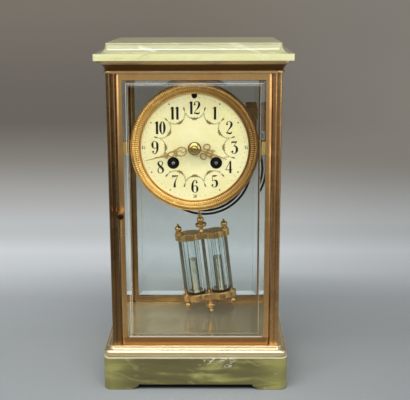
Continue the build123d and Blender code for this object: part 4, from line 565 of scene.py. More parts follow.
class Finish(Enum):
    """Every finish on the clock."""

    # Painted highlight: the plinth's top arris carries a cream line.
    PLINTH_ONYX = Onyx(
        "plinth_onyx", "5e5834", "68623a", "9e9858", "a8a26c", "e8e2c6", 0.35, 0.2, (42.0, 72.0), 27.6,
        (0.28, 0.28, 2.4), polish=0.3, gloss=1.5, spot=(1.0, 36.0, 18.0, 28.0),
    )
    # Painted shade: the top onyx's cove and top tier are darkened towards the deep tone, and its top is
    # painted darker still.
    TOP_ONYX = Onyx(
        "top_onyx", "aaa87e", "e8e4a8", "f2eebc", "f4f2d2", "f6f4dc", 0.4, 0.35, (60.0, 90.0), 300.0,
        hollow=(268.3, 300.0), clouding=(0.28, 0.46), worn_from=275.9,
    )
    CASE = Brass("case_brass", "d4a66a", "a27440", "ecc284", 0.34, 0.5)
    # Painted shade: the front door's lower rail goes darker where it meets the base; this also stands for
    # the rail's dark blotches.
    CASE_FRONT = Brass(
        "case_brass_front_shaded_foot", "e2b474", "ac7e4a", "f0ca8c", 0.34, 0.5, dull=(30.0, 42.6)
    )
    # Painted light: a brighter, less metallic copy of the case brass for the inner posts and side frames
    # seen through the glass.
    CASE_INNER = Brass(
        "case_brass_inner_painted_light", "f2ca88", "c89a58", "fadca4", 0.24, 0.4, Grain.UPRIGHT, metal=0.7
    )
    # Painted shade: a darker copy of the case brass for the back door seen through the glass.
    CASE_BACK = Brass("case_brass_back_painted_shade", "a07c42", "78592b", "b8945a", 0.34, 0.45)
    # Painted shade: the left front post is darker than the right.
    CASE_UPRIGHT = Brass(
        "case_brass_upright_side_shaded", "cca06a", "8a6a44", "e4bc88", 0.28, 0.5, Grain.UPRIGHT, shaded=(50.0, -60.0)
    )
    # Painted highlight: a pale copy of the case brass for the bright top of the base moulding.
    CASE_ACROSS = Brass(
        "case_brass_across_painted_light", "f8e2b8", "e4c490", "fcecca", 0.3, 0.3, Grain.ACROSS, wear=0.25
    )
    # Painted shade on the cornice's flare under the slab; its cap and fillet keep a lighter tone as painted
    # light.
    CORNICE = Brass(
        "cornice_brass_painted_light_and_shade", "e0bc86", "6a4a24", "ecd0a0", 0.32, 0.3, Grain.ACROSS, dull=(254.6, 260.9),
        wear=0.4,
    )
    # Painted shade: the floor plate darkens towards the right.
    FLOOR = Brass(
        "floor_brass_side_shaded", "d2bc90", "9c8860", "dcc8a0", 0.08, 0.3, Grain.ACROSS, metal=0.5,
        shaded=(-45.0, 35.0),
    )
    GILT = Brass("gilt_brass", "e4b268", "a87a42", "f0ca82", 0.4, 0.35)
    BRACKET = Brass("bracket_brass", "f0c870", "c89c4c", "fae0a0", 0.34, 0.3, metal=0.75)
    # Painted shade: the bezel darkens towards the right.
    BEZEL_GILT = Brass("bezel_gilt", "eeb868", "946a38", "f8d088", 0.38, 0.3, shaded=(-10.0, 48.0))
    HAND_GILT = Brass("hand_gilt", "d2a142", "a67c2a", "ecc466", 0.3, 0.35, metal=0.5)
    # Painted shade: dark outline behind the hands' strokes and round the collet.
    HAND_EDGE = Brass("hand_edge", "6e5320", "4c3813", "8a6c30", 0.4, 0.5)
    COLLET_GILT = Brass("collet_gilt", "ecca7c", "c89c4c", "f8e4a8", 0.2, 0.2)
    MOVEMENT = Brass("movement_brass", "b58f50", "8d6a36", "cfa96a", 0.32, 0.5)
    BOB = Brass("bob_brass", "ecc07a", "a87e46", "fadc9c", 0.26, 0.35, Grain.ACROSS, wear=0.3)
    BOB_RODS = Brass(
        "bob_rod_brass", "d8b26a", "aaa28e", "f4d692", 0.18, 0.2, metal=0.95, dull=(60.0, 108.0), wear=0.4
    )
    # Painted shade: near-black brass for the front plate and regulator arbor seen in the dark holes, and
    # for the rings at the vials' feet.
    PATINA = Brass("painted_dark_shade", "1d1710", "120d08", "271f14", 0.5, 0.6)
    ENAMEL = Enamel("dial_enamel", "fceab6", "f4e0a2", "e2cb84")
    GLASS = ClearGlass("plate_glass", "f6fbfa", "f0f7f5")
    # Painted highlights: bright lines laid on the plate glasses.
    LOW_ARRIS = GroundGlass("glass_low_painted_glint", "fbfdf8", "e9ece4", 0.75)
    HIGH_ARRIS = GroundGlass("glass_high_painted_glint", "f8f6ec", "dcd8c8", 0.6)
    ARRIS = GroundGlass("glass_bevel_painted_glint", "e6e2d2", "c9c2ac", 0.2)
    # Painted reflections: dark and light lines down the bob's vials and columns.
    VIAL_SHADE = GroundGlass("vial_shade", "3a352b", "585040", 0.55)
    VIAL_LIGHT = GroundGlass("vial_light", "fafbf7", "e4e8e6", 0.35)
    COLUMN_LIGHT = GroundGlass("column_light", "fbf4e2", "cbb48a", 0.45)
    KNOB_END = Brass("knob_end_brass", "5a4126", "3a2815", "7a5a34", 0.3, 0.6)
    BRIGHT_STEEL = Steel("bright_steel", "a9a49b", "7d756a", 0.22)
    # Painted shade: the winding arbors' steel is darkened to look black inside their holes.
    DARK_STEEL = Steel("dark_steel", "2e2a26", "1c1916", 0.35)
    BLUED_STEEL = Steel("blued_steel", "23242a", "16161a", 0.3)
    COLUMN = Steel("bright_column", "fbf6ea", "a89e88", 0.08, 0.04)
    GONG_IRON = Lacquer("gong_iron", "7a5730", "94703f", 0.4, 4.0)
    IRON = Lacquer("iron_paint", "4a3524", "624931", 0.4, 4.0)
    BRIGHT_TIP = Steel("bright_tip", "c9c4ba", "8f897e", 0.3)
    # Painted shade: black rings and sleeves that make the dial's holes look dark.
    BLACK_LINING = Lacquer("black_lining", "0b0908", "141110", 0.5, 2.0)
    INK = Lacquer("numeral_ink", "0c0a08", "161310", 0.5, 1.4)
    FAINT_INK = Lacquer("faint_ink", "585140", "7a7156", 0.35, 1.0)
    SWAG_BROWN = Lacquer("swag_brown", "6e5b38", "8a7850", 0.35, 1.2)
    SWAG_ROSE = Lacquer("swag_rose", "a08450", "b89c68", 0.35, 1.2)
    SWAG_LEAF = Lacquer("swag_leaf", "8a7e48", "a29864", 0.35, 1.2)


class Palette:
    """Makes each finish once."""

    def __init__(self) -> None:
        """Start with no finish made."""
        self._made: dict[Finish, bpy.types.Material] = {}

    def __getitem__(self, finish: Finish) -> bpy.types.Material:
        """Fetch a material, which is made the first time.

        Args:
            finish: Finish to fetch.

        Returns:
            The finish's material.
        """
        if finish not in self._made:
            self._made[finish] = finish.value.material()
        return self._made[finish]


PALETTE = Palette()


class Workshop:
    """Turns points and faces into named pieces that ride on the clock's bodies."""

    @staticmethod
    def piece(
        name: str,
        points: Sequence[Vector],
        faces: Sequence[Sequence[int]],
        finish: Finish,
        body: str,
        slot: str,
        stands_for: Iterable[str] = (),
        smooth: float | None = 35.0,
    ) -> bpy.types.Object:
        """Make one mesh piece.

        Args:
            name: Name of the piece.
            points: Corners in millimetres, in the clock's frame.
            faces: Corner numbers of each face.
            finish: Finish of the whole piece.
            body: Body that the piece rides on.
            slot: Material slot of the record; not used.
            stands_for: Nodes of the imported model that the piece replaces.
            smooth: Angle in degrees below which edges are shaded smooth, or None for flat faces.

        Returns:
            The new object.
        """
        mesh = bpy.data.meshes.new(name)
        mesh.from_pydata([tuple(p * MM for p in point) for point in points], [], [list(f) for f in faces])
        mesh.validate()
        mesh.update()
        if smooth is not None:
            mesh.shade_smooth()
            mesh.set_sharp_from_angle(angle=math.radians(smooth))
        mesh.materials.append(PALETTE[finish])
        made = bpy.data.objects.new(name, mesh)
        bpy.context.scene.collection.objects.link(made)
        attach(made, body)
        if stands_for:
            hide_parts(*stands_for)
        LOG.info("made %s: %d faces on %s", name, len(mesh.polygons), body)
        return made


@dataclass(frozen=True)
class Knot:
    """A point that a stroke passes through, with the stroke's half width there."""

    u: float
    v: float
    half: float


class Section(Enum):
    """Cross section of a stroke as (share of the half width, share of the height)."""

    FLAT = ((-1.0, 0.0), (-1.0, 1.0), (1.0, 1.0), (1.0, 0.0))
    CHASED = ((-1.0, 0.0), (-1.0, 0.45), (-0.5, 0.95), (0.5, 0.95), (1.0, 0.45), (1.0, 0.0))


class Relief:
    """Flat work raised from a face of the dial: strokes, discs and leaves."""

    LEAST_HALF = 0.02
    DISC_END_HALF = 0.01
    LEAF = ((0.0, 0.08), (0.3, 0.9), (0.55, 0.85), (1.0, 0.06))

    def __init__(self, face_y: float, height: float, section: Section) -> None:
        """Start an empty sheet.

        Args:
            face_y: Depth of the face that the work lies on.
            height: How far it stands out towards the front.
            section: Cross section of its strokes.
        """
        self.face_y = face_y
        self.height = height
        self.section = section
        self.points: list[Vector] = []
        self.faces: list[list[int]] = []

    def _lay(self, rows: Sequence[Sequence[Point]], closed: bool) -> None:
        """Skin a run of cross sections.

        Args:
            rows: Cross sections, each a row of places across and up with a share of the height.
            closed: Whether the last section joins the first.
        """
        start = len(self.points)
        width = len(rows[0])
        for row in rows:
            self.points += [Vector((u, self.face_y - h * self.height, DIAL_Z + v)) for u, v, h in row]
        count = len(rows)
        for i in range(count if closed else count - 1):
            a, b = start + i * width, start + (i + 1) % count * width
            for j in range(width):
                k = (j + 1) % width
                self.faces.append([a + j, a + k, b + k, b + j])
        if not closed:
            self.faces.append([start + j for j in reversed(range(width))])
            self.faces.append([start + (count - 1) * width + j for j in range(width)])

    def stroke(self, knots: Sequence[Knot], closed: bool = False, steps: int = 8) -> None:
        """Draw a smooth stroke of changing width.

        Args:
            knots: Points that it passes through.
            closed: Whether it joins up with its own start.
            steps: Steps from one knot to the next.
        """
        line = self._spline(knots, closed, steps)
        rows = []
        count = len(line)
        for i, here in enumerate(line):
            before = line[i - 1] if i or closed else line[0]
            after = line[(i + 1) % count] if i < count - 1 or closed else line[-1]
            run = math.hypot(after.u - before.u, after.v - before.v) or 1.0
            across = (before.v - after.v) / run * here.half
            up = (after.u - before.u) / run * here.half
            rows.append([(here.u + across * a, here.v + up * a, h) for a, h in self.section.value])
        self._lay(rows, closed)

    @classmethod
    def _spline(cls, knots: Sequence[Knot], closed: bool, steps: int) -> list[Knot]:
        """Round off a run of knots.

        Args:
            knots: Points to pass through; two of them stay a straight line.
            closed: Whether the last joins the first.
            steps: Steps from one knot to the next.

        Returns:
            Points of a smooth curve through the knots.
        """
        if len(knots) == 2:
            return list(knots)
        count = len(knots)
        line = []
        for i in range(count if closed else count - 1):
            near = [
                knots[(i + d) % count] if closed else knots[min(max(i + d, 0), count - 1)]
                for d in (-1, 0, 1, 2)
            ]
            for step in range(steps):
                t = step / steps
                shares = (
                    (-t + 2 * t * t - t**3) / 2, (2 - 5 * t * t + 3 * t**3) / 2,
                    (t + 4 * t * t - 3 * t**3) / 2, (t**3 - t * t) / 2,
                )
                u, v, half = (
                    sum(share * value for share, value in zip(shares, values))
                    for values in zip(*((knot.u, knot.v, knot.half) for knot in near))
                )
                line.append(Knot(u, v, max(half, cls.LEAST_HALF)))
        if not closed:
            line.append(knots[-1])
        return line

    def disc(self, u: float, v: float, radius: float, corners: int = 14) -> None:
        """Draw a round spot.

        Args:
            u: Place of its middle across.
            v: Place of its middle up.
            radius: Its radius.
            corners: Number of its corners.
        """
        turns = [math.pi * i / (corners // 2) for i in range(corners // 2 + 1)]
        rows = []
        for turn in turns:
            half = max(radius * math.sin(turn), self.DISC_END_HALF)
            rows.append([(u - radius * math.cos(turn), v + half * a, h) for a, h in self.section.value])
        self._lay(rows, False)

    def leaf(self, u: float, v: float, turn: float, length: float, width: float) -> None:
        """Draw a pointed leaf.

        Args:
            u: Place across where it starts.
            v: Place up where it starts.
            turn: Way that it goes, in radians.
            length: Its length.
            width: Its greatest width.
        """
        across, up = math.cos(turn) * length, math.sin(turn) * length
        knots = [Knot(u + across * share, v + up * share, width / 2 * wide) for share, wide in self.LEAF]
        self.stroke(knots, steps=4)

    def piece(
        self, name: str, finish: Finish, body: str, slot: str, stands_for: Iterable[str] = ()
    ) -> bpy.types.Object:
        """Make the finished sheet into a piece."""
        return Workshop.piece(name, self.points, self.faces, finish, body, slot, stands_for)


class Numerals:
    """Upright numerals with thick stems, hairlines and ball ends, drawn one unit high.

    A stroke is a row of points across and up with a half width.
    """

    THICK = 0.088
    HAIR = 0.02
    WIDER = 1.08
    BOLDER = 1.08
    WIDTH = 0.50
    WIDTHS = {"0": 0.48, "1": 0.32, "4": 0.54}
    BALL = 0.072
    BALLS = {
        "2": (0.095, 0.77), "3": (0.105, 0.18), "5": (0.10, 0.185), "6": (0.385, 0.83), "9": (0.115, 0.17),
    }
    NOUGHT_MIDDLE = (0.24, 0.5)
    NOUGHT_HALF = (0.15, 0.48)
    NOUGHT_KNOTS = 24
    CLOSED = "8"
    SIX = (
        (0.42, 0.86, 0.03), (0.34, 0.982, 0.022), (0.22, 0.97, 0.03), (0.10, 0.78, 0.06),
        (0.07, 0.45, 0.088), (0.09, 0.18, 0.075), (0.19, 0.025, 0.025), (0.27, 0.014, 0.02),
        (0.38, 0.06, 0.04), (0.43, 0.27, 0.082), (0.40, 0.47, 0.055), (0.28, 0.57, 0.022),
        (0.17, 0.51, 0.02), (0.11, 0.38, 0.02),
    )
    STROKES = {
        "0": (),
        "1": (
            ((0.20, 0.0, 0.088), (0.20, 1.0, 0.088)),
            ((0.02, 0.86, 0.016), (0.11, 0.90, 0.03), (0.2, 0.985, 0.05)),
        ),
        "2": (
            ((0.07, 0.79, 0.03), (0.12, 0.94, 0.03), (0.25, 0.984, 0.02), (0.39, 0.91, 0.06),
             (0.42, 0.75, 0.086), (0.36, 0.56, 0.065), (0.20, 0.32, 0.028), (0.05, 0.08, 0.02)),
            ((0.04, 0.05, 0.018), (0.13, 0.09, 0.05), (0.27, 0.055, 0.06), (0.38, 0.06, 0.05),
             (0.46, 0.20, 0.018)),
        ),
        "3": (
            ((0.05, 0.80, 0.018), (0.06, 0.95, 0.03)),
            ((0.04, 0.94, 0.05), (0.25, 0.925, 0.055), (0.44, 0.965, 0.03)),
            ((0.44, 0.97, 0.02), (0.19, 0.60, 0.02)),
            ((0.18, 0.60, 0.02), (0.32, 0.60, 0.045), (0.42, 0.46, 0.08), (0.43, 0.24, 0.086),
             (0.33, 0.05, 0.04), (0.20, 0.018, 0.02), (0.09, 0.07, 0.028), (0.06, 0.17, 0.03)),
        ),
        "4": (
            ((0.36, 0.985, 0.02), (0.02, 0.28, 0.02)),
            ((0.01, 0.28, 0.024), (0.53, 0.28, 0.024)),
            ((0.37, 0.0, 0.084), (0.37, 1.0, 0.06)),
        ),
        "5": (
            ((0.09, 0.93, 0.05), (0.27, 0.925, 0.058), (0.43, 0.985, 0.02)),
            ((0.09, 0.95, 0.02), (0.09, 0.50, 0.02)),
            ((0.09, 0.50, 0.02), (0.22, 0.585, 0.028), (0.38, 0.52, 0.075), (0.43, 0.30, 0.086),
             (0.37, 0.09, 0.05), (0.22, 0.016, 0.02), (0.09, 0.07, 0.028), (0.055, 0.17, 0.03)),
        ),
        "6": (SIX,),
        "7": (
            ((0.04, 0.78, 0.018), (0.05, 0.95, 0.03)),
            ((0.04, 0.94, 0.05), (0.24, 0.915, 0.06), (0.45, 0.97, 0.025)),
            ((0.46, 0.97, 0.02), (0.33, 0.68, 0.024), (0.23, 0.36, 0.06), (0.21, 0.0, 0.09)),
        ),
        "8": (
            ((0.26, 0.984, 0.02), (0.12, 0.91, 0.045), (0.09, 0.78, 0.068), (0.16, 0.63, 0.082),
             (0.30, 0.49, 0.086), (0.41, 0.34, 0.082), (0.43, 0.19, 0.065), (0.36, 0.06, 0.034),
             (0.25, 0.016, 0.02), (0.12, 0.06, 0.03), (0.06, 0.20, 0.042), (0.09, 0.36, 0.032),
             (0.22, 0.52, 0.02), (0.36, 0.66, 0.028), (0.40, 0.79, 0.038), (0.37, 0.92, 0.03)),
        ),
        "9": (tuple((0.5 - u, 1 - v, half) for u, v, half in SIX),),
    }

    @classmethod
    def draw(cls, sheet: Relief, text: str, centre: Place, height: float, gap: float = 0.03) -> None:
        """Draw a number with its middle at a place.

        Args:
            sheet: Sheet to draw on.
            text: Digits of the number.
            centre: Middle of the number.
            height: Height of the digits in millimetres.
            gap: Space between digits as a share of the height.
        """
        widths = [cls.WIDTHS.get(digit, cls.WIDTH) for digit in text]
        total = sum(widths) + gap * (len(text) - 1)
        wide = height * cls.WIDER
        bold = height * cls.BOLDER
        left = centre[0] - total * wide / 2
        low = centre[1] - height / 2
        for digit, width in zip(text, widths):
            for stroke in cls.STROKES[digit]:
                knots = [Knot(left + u * wide, low + v * height, half * bold) for u, v, half in stroke]
                sheet.stroke(knots, digit == cls.CLOSED)
            if digit == "0":
                cls._nought(sheet, left, low, height)
            if digit in cls.BALLS:
                u, v = cls.BALLS[digit]
                sheet.disc(left + u * wide, low + v * height, cls.BALL * bold)
            left += (width + gap) * wide

    @classmethod
    def _nought(cls, sheet: Relief, left: float, low: float, height: float) -> None:
        """Draw a nought: two thick sides joined by hairlines.

        Args:
            sheet: Sheet to draw on.
            left: Left side of the digit.
            low: Foot of the digit.
            height: Height of the digit.
        """
        knots = []
        for i in range(cls.NOUGHT_KNOTS):
            angle = math.tau * i / cls.NOUGHT_KNOTS
            half = cls.HAIR + (cls.THICK - cls.HAIR) * abs(math.cos(angle)) ** 1.5
            across = (cls.NOUGHT_MIDDLE[0] + cls.NOUGHT_HALF[0] * math.cos(angle)) * height * cls.WIDER
            up = (cls.NOUGHT_MIDDLE[1] + cls.NOUGHT_HALF[1] * math.sin(angle)) * height
            knots.append(Knot(left + across, low + up, half * height * cls.BOLDER))
        sheet.stroke(knots, True, 2)


def at_hour(hour: float, radius: float) -> Place:
    """Place on the dial at an hour and a radius, from the dial's middle."""
    angle = math.radians(30 * hour)
    return (radius * math.sin(angle), radius * math.cos(angle))


@dataclass(frozen=True)
class DialWork:
    """What is fired onto the enamel: numerals, minute marks and a swag of flowers under each numeral.

    A swag's places are across and out from the dial's middle, for its right half; a sprig leans too.
    """

    SWAG: ClassVar[tuple[Place, ...]] = (
        (0.0, 22.5), (2.4, 22.8), (4.8, 24.0), (6.6, 25.9), (7.5, 28.0), (7.75, 30.2),
    )
    SWAG_HALVES: ClassVar[tuple[float, ...]] = (
        0.32, 0.13, 0.07, 0.06, 0.09, 0.13, 0.09, 0.06, 0.07, 0.13, 0.32,
    )
    SPRIGS: ClassVar[tuple[Point, ...]] = (
        (3.3, 23.2, 0.4), (4.6, 23.9, 0.75), (5.7, 24.9, 0.9), (6.6, 26.0, 1.1),
    )
    GREEN_FROM: ClassVar[float] = 4.0

    numeral_r: float = 31.0
    numeral_h: float = 9.9
    small_h: float = 2.7
    dots_at: float = 39.1
    hour_dot_r: float = 0.58
    minute_dot_r: float = 0.27
    quarters: tuple[tuple[str, int, float], ...] = (("15", 3, 40.1), ("30", 6, 38.9), ("45", 9, 40.1))
    ink_t: float = 0.05
    eye_clear: float = 5.9

    def build(self) -> None:
        """Make every piece of the dial's decoration."""
        self._numerals()
        self._marks()
        self._swags()

    def _sheet(self) -> Relief:
        """An empty sheet on the dial's face."""
        return Relief(DIAL_FACE_Y, self.ink_t, Section.FLAT)

    def _numerals(self) -> None:
        """The twelve hours."""
        sheet = self._sheet()
        for hour in range(1, 13):
            Numerals.draw(sheet, str(hour), at_hour(hour, self.numeral_r), self.numeral_h)
        sheet.piece("dial_numerals", Finish.INK, "case", "cream_enamel")

    def _marks(self) -> None:
        """Minute dots, larger at the hours, and the three small quarter numbers."""
        sheet = self._sheet()
        bold = self._sheet()
        for minute in range(60):
            u, v = at_hour(minute / 5, self.dots_at)
            if minute % 15 == 0:
                continue
            if minute % 5 == 0:
                bold.disc(u, v, self.hour_dot_r)
            else:
                sheet.disc(u, v, self.minute_dot_r, 10)
        for text, hour, radius in self.quarters:
            Numerals.draw(bold, text, at_hour(hour, radius), self.small_h)
        sheet.piece("dial_minute_marks", Finish.FAINT_INK, "case", "cream_enamel")
        bold.piece("dial_hour_dots", Finish.INK, "case", "cream_enamel")

    def _swags(self) -> None:
        """Twelve hanging garlands that open outwards, with a spray of flowers at each middle."""
        line, flower, leaf = self._sheet(), self._sheet(), self._sheet()
        for hour in range(12):
            turn = math.radians(30 * hour)
            out = math.pi / 2 - turn

            def put(a: float, r: float, turn: float = turn) -> Place:
                """Place of a point given across and out from the middle."""
                return (a * math.cos(turn) + r * math.sin(turn), r * math.cos(turn) - a * math.sin(turn))

            arc = [put(-a, r) for a, r in reversed(self.SWAG)] + [put(a, r) for a, r in self.SWAG[1:]]
            self._garland(line, [Knot(u, v, half) for (u, v), half in zip(arc, self.SWAG_HALVES)])
            leaves = [(line, (0.0, 23.2), out, (1.2, 0.55))]
            discs = [((0.0, 22.4), 1.05)]
            for side in (-1, 1):
                for a, r, lean in self.SPRIGS:
                    way = out - side * (math.pi / 2 - lean)
                    sheet = leaf if a > self.GREEN_FROM else line
                    leaves.append((sheet, (side * a, r), way + side * 0.7, (1.15, 0.5)))
                    leaves.append((leaf, (side * a, r), way - side * 0.8, (0.9, 0.4)))
                leaves.append((line, (side * 7.8, 30.0), out - side * 0.25, (1.7, 0.75)))
                leaves.append((leaf, (side * 0.8, 21.9), side * 1.0 - math.pi / 2 - turn, (1.2, 0.55)))
                leaves.append((leaf, (side * 1.7, 23.3), out - side * 0.8, (1.1, 0.5)))
                discs += [((side * 1.35, 22.7), 0.8), ((side * 2.35, 22.95), 0.62)]
            for sheet, spot, way, size in leaves:
                if self._on_enamel(*put(*spot)):
                    sheet.leaf(*put(*spot), way, *size)
            for spot, radius in discs:
                if self._on_enamel(*put(*spot)):
                    flower.disc(*put(*spot), radius)
        line.piece("dial_swag_lines", Finish.SWAG_BROWN, "case", "cream_enamel")
        flower.piece("dial_swag_flowers", Finish.SWAG_ROSE, "case", "cream_enamel")
        leaf.piece("dial_swag_leaves", Finish.SWAG_LEAF, "case", "cream_enamel")

    def _garland(self, sheet: Relief, knots: Sequence[Knot]) -> None:
        """Draw a garland's line, broken where it would cross a winding hole.

        Args:
            sheet: Sheet to draw on.
            knots: Points of the garland from end to end.
        """
        run: list[Knot] = []
        for knot in (*knots, None):
            if knot is not None and self._on_enamel(knot.u, knot.v):
                run.append(knot)
                continue
            if len(run) > 1:
                sheet.stroke(run)
            run = []

    def _on_enamel(self, u: float, v: float) -> bool:
        """Whether a place on the dial is clear of both winding holes."""
        gaps = (math.hypot(u - side * WINDER_ACROSS, v + WINDER_DROP) for side in (-1, 1))
        return min(gaps) > self.eye_clear


class Lathe:
    """Turned work about an axis along Y."""

    @classmethod
    def piece(
        cls,
        name: str,
        profile: Profile,
        segments: int,
        finish: Finish,
        body: str,
        slot: str,
        *,
        closed: bool = True,
        teeth: int = 0,
        span: Span | None = None,
        centre: Place = (0.0, DIAL_Z),
        stands_for: Iterable[str] = (),
        smooth: float = 40.0,
    ) -> None:
        """Spin a profile into a piece.

        Args:
            name: Name of the piece.
            profile: Rows of radius and depth, with a milling height where the ring is milled.
            segments: Number of steps round the ring.
            finish: Finish of the piece.
            body: Body that the piece rides on.
            slot: Material slot of the record.
            closed: Whether the profile joins up with its own start.
            teeth: Number of milled teeth round the ring.
            span: First and last angle in degrees of a part turn, from the top.
            centre: Place of the axis across and up.
            stands_for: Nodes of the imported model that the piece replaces.
            smooth: Angle in degrees below which edges are shaded smooth.
        """
        first, last = (math.radians(angle) for angle in span or (0.0, 360.0))
        rows = segments + 1 if span else segments
        points = []
        for i in range(rows):
            angle = first + (last - first) * i / segments
            wave = math.cos(angle * teeth)
            for radius, depth, *mill in profile:
                lift = mill[0] * wave if mill else 0.0
                across, up = centre[0] + radius * math.sin(angle), centre[1] + radius * math.cos(angle)
                points.append(Vector((across, depth - lift, up)))
        faces = cls._skin(len(profile), segments, rows, closed)
        Workshop.piece(name, points, faces, finish, body, slot, stands_for, smooth)

    @staticmethod
    def _skin(width: int, segments: int, rows: int, closed: bool) -> list[list[int]]:
        """Join the turned rows of points.

        Args:
            width: Points in a row.
            segments: Number of steps round the ring.
            rows: Number of rows, one more than the steps in a part turn.
            closed: Whether each row joins up with its own start.

        Returns:
            Point numbers of each face.
        """
        faces = []
        for i in range(segments):
            a, b = i * width, (i + 1) % rows * width
            for j in range(width if closed else width - 1):
                k = (j + 1) % width
                faces.append([a + j, b + j, b + k, a + k])
        if not closed:
            faces.append([i * width for i in reversed(range(segments))])
            faces.append([i * width + width - 1 for i in range(segments)])
        if rows > segments:
            faces.append(list(range(width)))
            faces.append([segments * width + j for j in reversed(range(width))])
        return faces


@dataclass(frozen=True)
class Bezel:
    """Gilt ring round the dial: a bead inside and out, two milled rows between grooves, a band behind."""

    RING: ClassVar[Profile] = (
        (42.0, -40.85), (42.0, -41.9), (42.15, -42.3), (42.5, -42.4), (42.85, -42.3), (42.95, -42.0),
        (43.15, -42.0), (43.25, -42.4), (43.5, -42.65, 0.05), (44.0, -42.85, 0.18), (44.9, -43.15, 0.2),
        (45.9, -43.4, 0.18), (46.2, -43.4, 0.05), (46.35, -43.25), (46.5, -43.45, 0.05),
        (46.9, -43.7, 0.18), (47.9, -43.8, 0.2), (48.7, -43.7, 0.18), (49.1, -43.5, 0.05), (49.2, -43.1),
        (49.4, -43.1), (49.5, -43.4), (49.75, -43.55), (50.05, -43.35), (50.28, -42.7), (50.28, -36.6),
        (44.75, -36.6), (44.75, -40.85),
    )
    BAND: ClassVar[Profile] = (
        (50.28, -36.6), (50.28, -31.3), (50.05, -31.0), (49.75, -31.0), (49.55, -30.8), (48.9, -30.8),
        (48.9, -36.6),
    )

    teeth: int = 180
    segments: int = 1440
    band_segments: int = 240
    notch_deg: float = 6.4

    def build(self) -> None:
        """Turn the ring, and the band in two parts that leave the brackets free."""
        Lathe.piece(
            "bezel_ring", self.RING, self.segments, Finish.BEZEL_GILT, "case", "gilt_brass",
            teeth=self.teeth, stands_for=["bezel"],
        )
        reach = 90.0 - self.notch_deg
        for name, middle in (("upper", 0.0), ("lower", 180.0)):
            Lathe.piece(
                f"bezel_band_{name}", self.BAND, self.band_segments, Finish.BEZEL_GILT, "case",
                "gilt_brass", span=(middle - reach, middle + reach),
            )


@dataclass(frozen=True)
class Oval:
    """One open loop of a hand, drawn on both sides of its middle line."""

    across: float
    along: float
    half_w: float
    half_l: float
    line: float
    lean: float = 0.0


@dataclass(frozen=True)
class Hand:
    """One pierced gilt hand: mirrored scrolls round a spine, a fine point, and a dark edge behind painted
    as shade round the strokes.

    It takes the place of the node that has its body's name.
    """

    LOOP_KNOTS: ClassVar[int] = 16
    BOSS_LINE: ClassVar[float] = 1.1

    name: str
    body: str
    angle: float
    face_y: float
    loops: tuple[Oval, ...]
    link: tuple[Point, ...]
    spine: tuple[Point, ...]
    thickness: float = 0.7
    boss_r: float = 2.9
    edge: float = 0.1
    edge_t: float = 0.2

    def build(self) -> None:
        """Draw the hand and stand it in for its node."""
        # The dark edge is painted shade that outlines every stroke.
        edge = Relief(self.face_y, self.edge_t, Section.FLAT)
        self._draw(edge, self.edge)
        edge.piece(f"{self.name}_edge", Finish.HAND_EDGE, self.body, "gilt_brass")
        gilt = Relief(self.face_y - self.edge_t, self.thickness - self.edge_t, Section.CHASED)
        self._draw(gilt, 0.0)
        gilt.piece(self.name, Finish.HAND_GILT, self.body, "gilt_brass", [self.body])

    def _draw(self, sheet: Relief, wider: float) -> None:
        """Draw every stroke of the hand.

        Args:
            sheet: Sheet to draw on.
            wider: How much wider the strokes are on each side; the boss keeps its width.
        """
        for loop in self.loops:
            for side in (-1, 1) if loop.across else (1,):
                sheet.stroke(self._oval(loop, side, wider), True, 3)
        for run in (self.link, self.spine):
            sheet.stroke([self._put(u, v, half + wider) for u, v, half in run])
        ring = Oval(0.0, 0.0, self.boss_r, self.boss_r, self.BOSS_LINE)
        sheet.stroke(self._oval(ring, 1, 0.0), True, 3)

    def _oval(self, loop: Oval, side: int, wider: float) -> list[Knot]:
        """Set out one loop, thicker on its outer side.

        Args:
            loop: The loop.
            side: 1 for the loop itself, -1 for its mirror image.
            wider: How much wider the stroke is on each side.

        Returns:
            Knots round the loop.
        """
        knots = []
        cos, sin = math.cos(loop.lean), math.sin(loop.lean)
        for i in range(self.LOOP_KNOTS):
            turn = math.tau * i / self.LOOP_KNOTS
            u, v = loop.half_w * math.cos(turn), loop.half_l * math.sin(turn)
            u, v = u * cos - v * sin, u * sin + v * cos
            half = loop.line * (1.5 + 0.4 * math.cos(turn)) + wider
            knots.append(self._put(side * (loop.across + u), loop.along + v, half))
        return knots

    def _put(self, u: float, v: float, half: float) -> Knot:
        """A knot turned to where the hand points."""
        turn = math.radians(self.angle)
        return Knot(u * math.cos(turn) + v * math.sin(turn), v * math.cos(turn) - u * math.sin(turn), half)


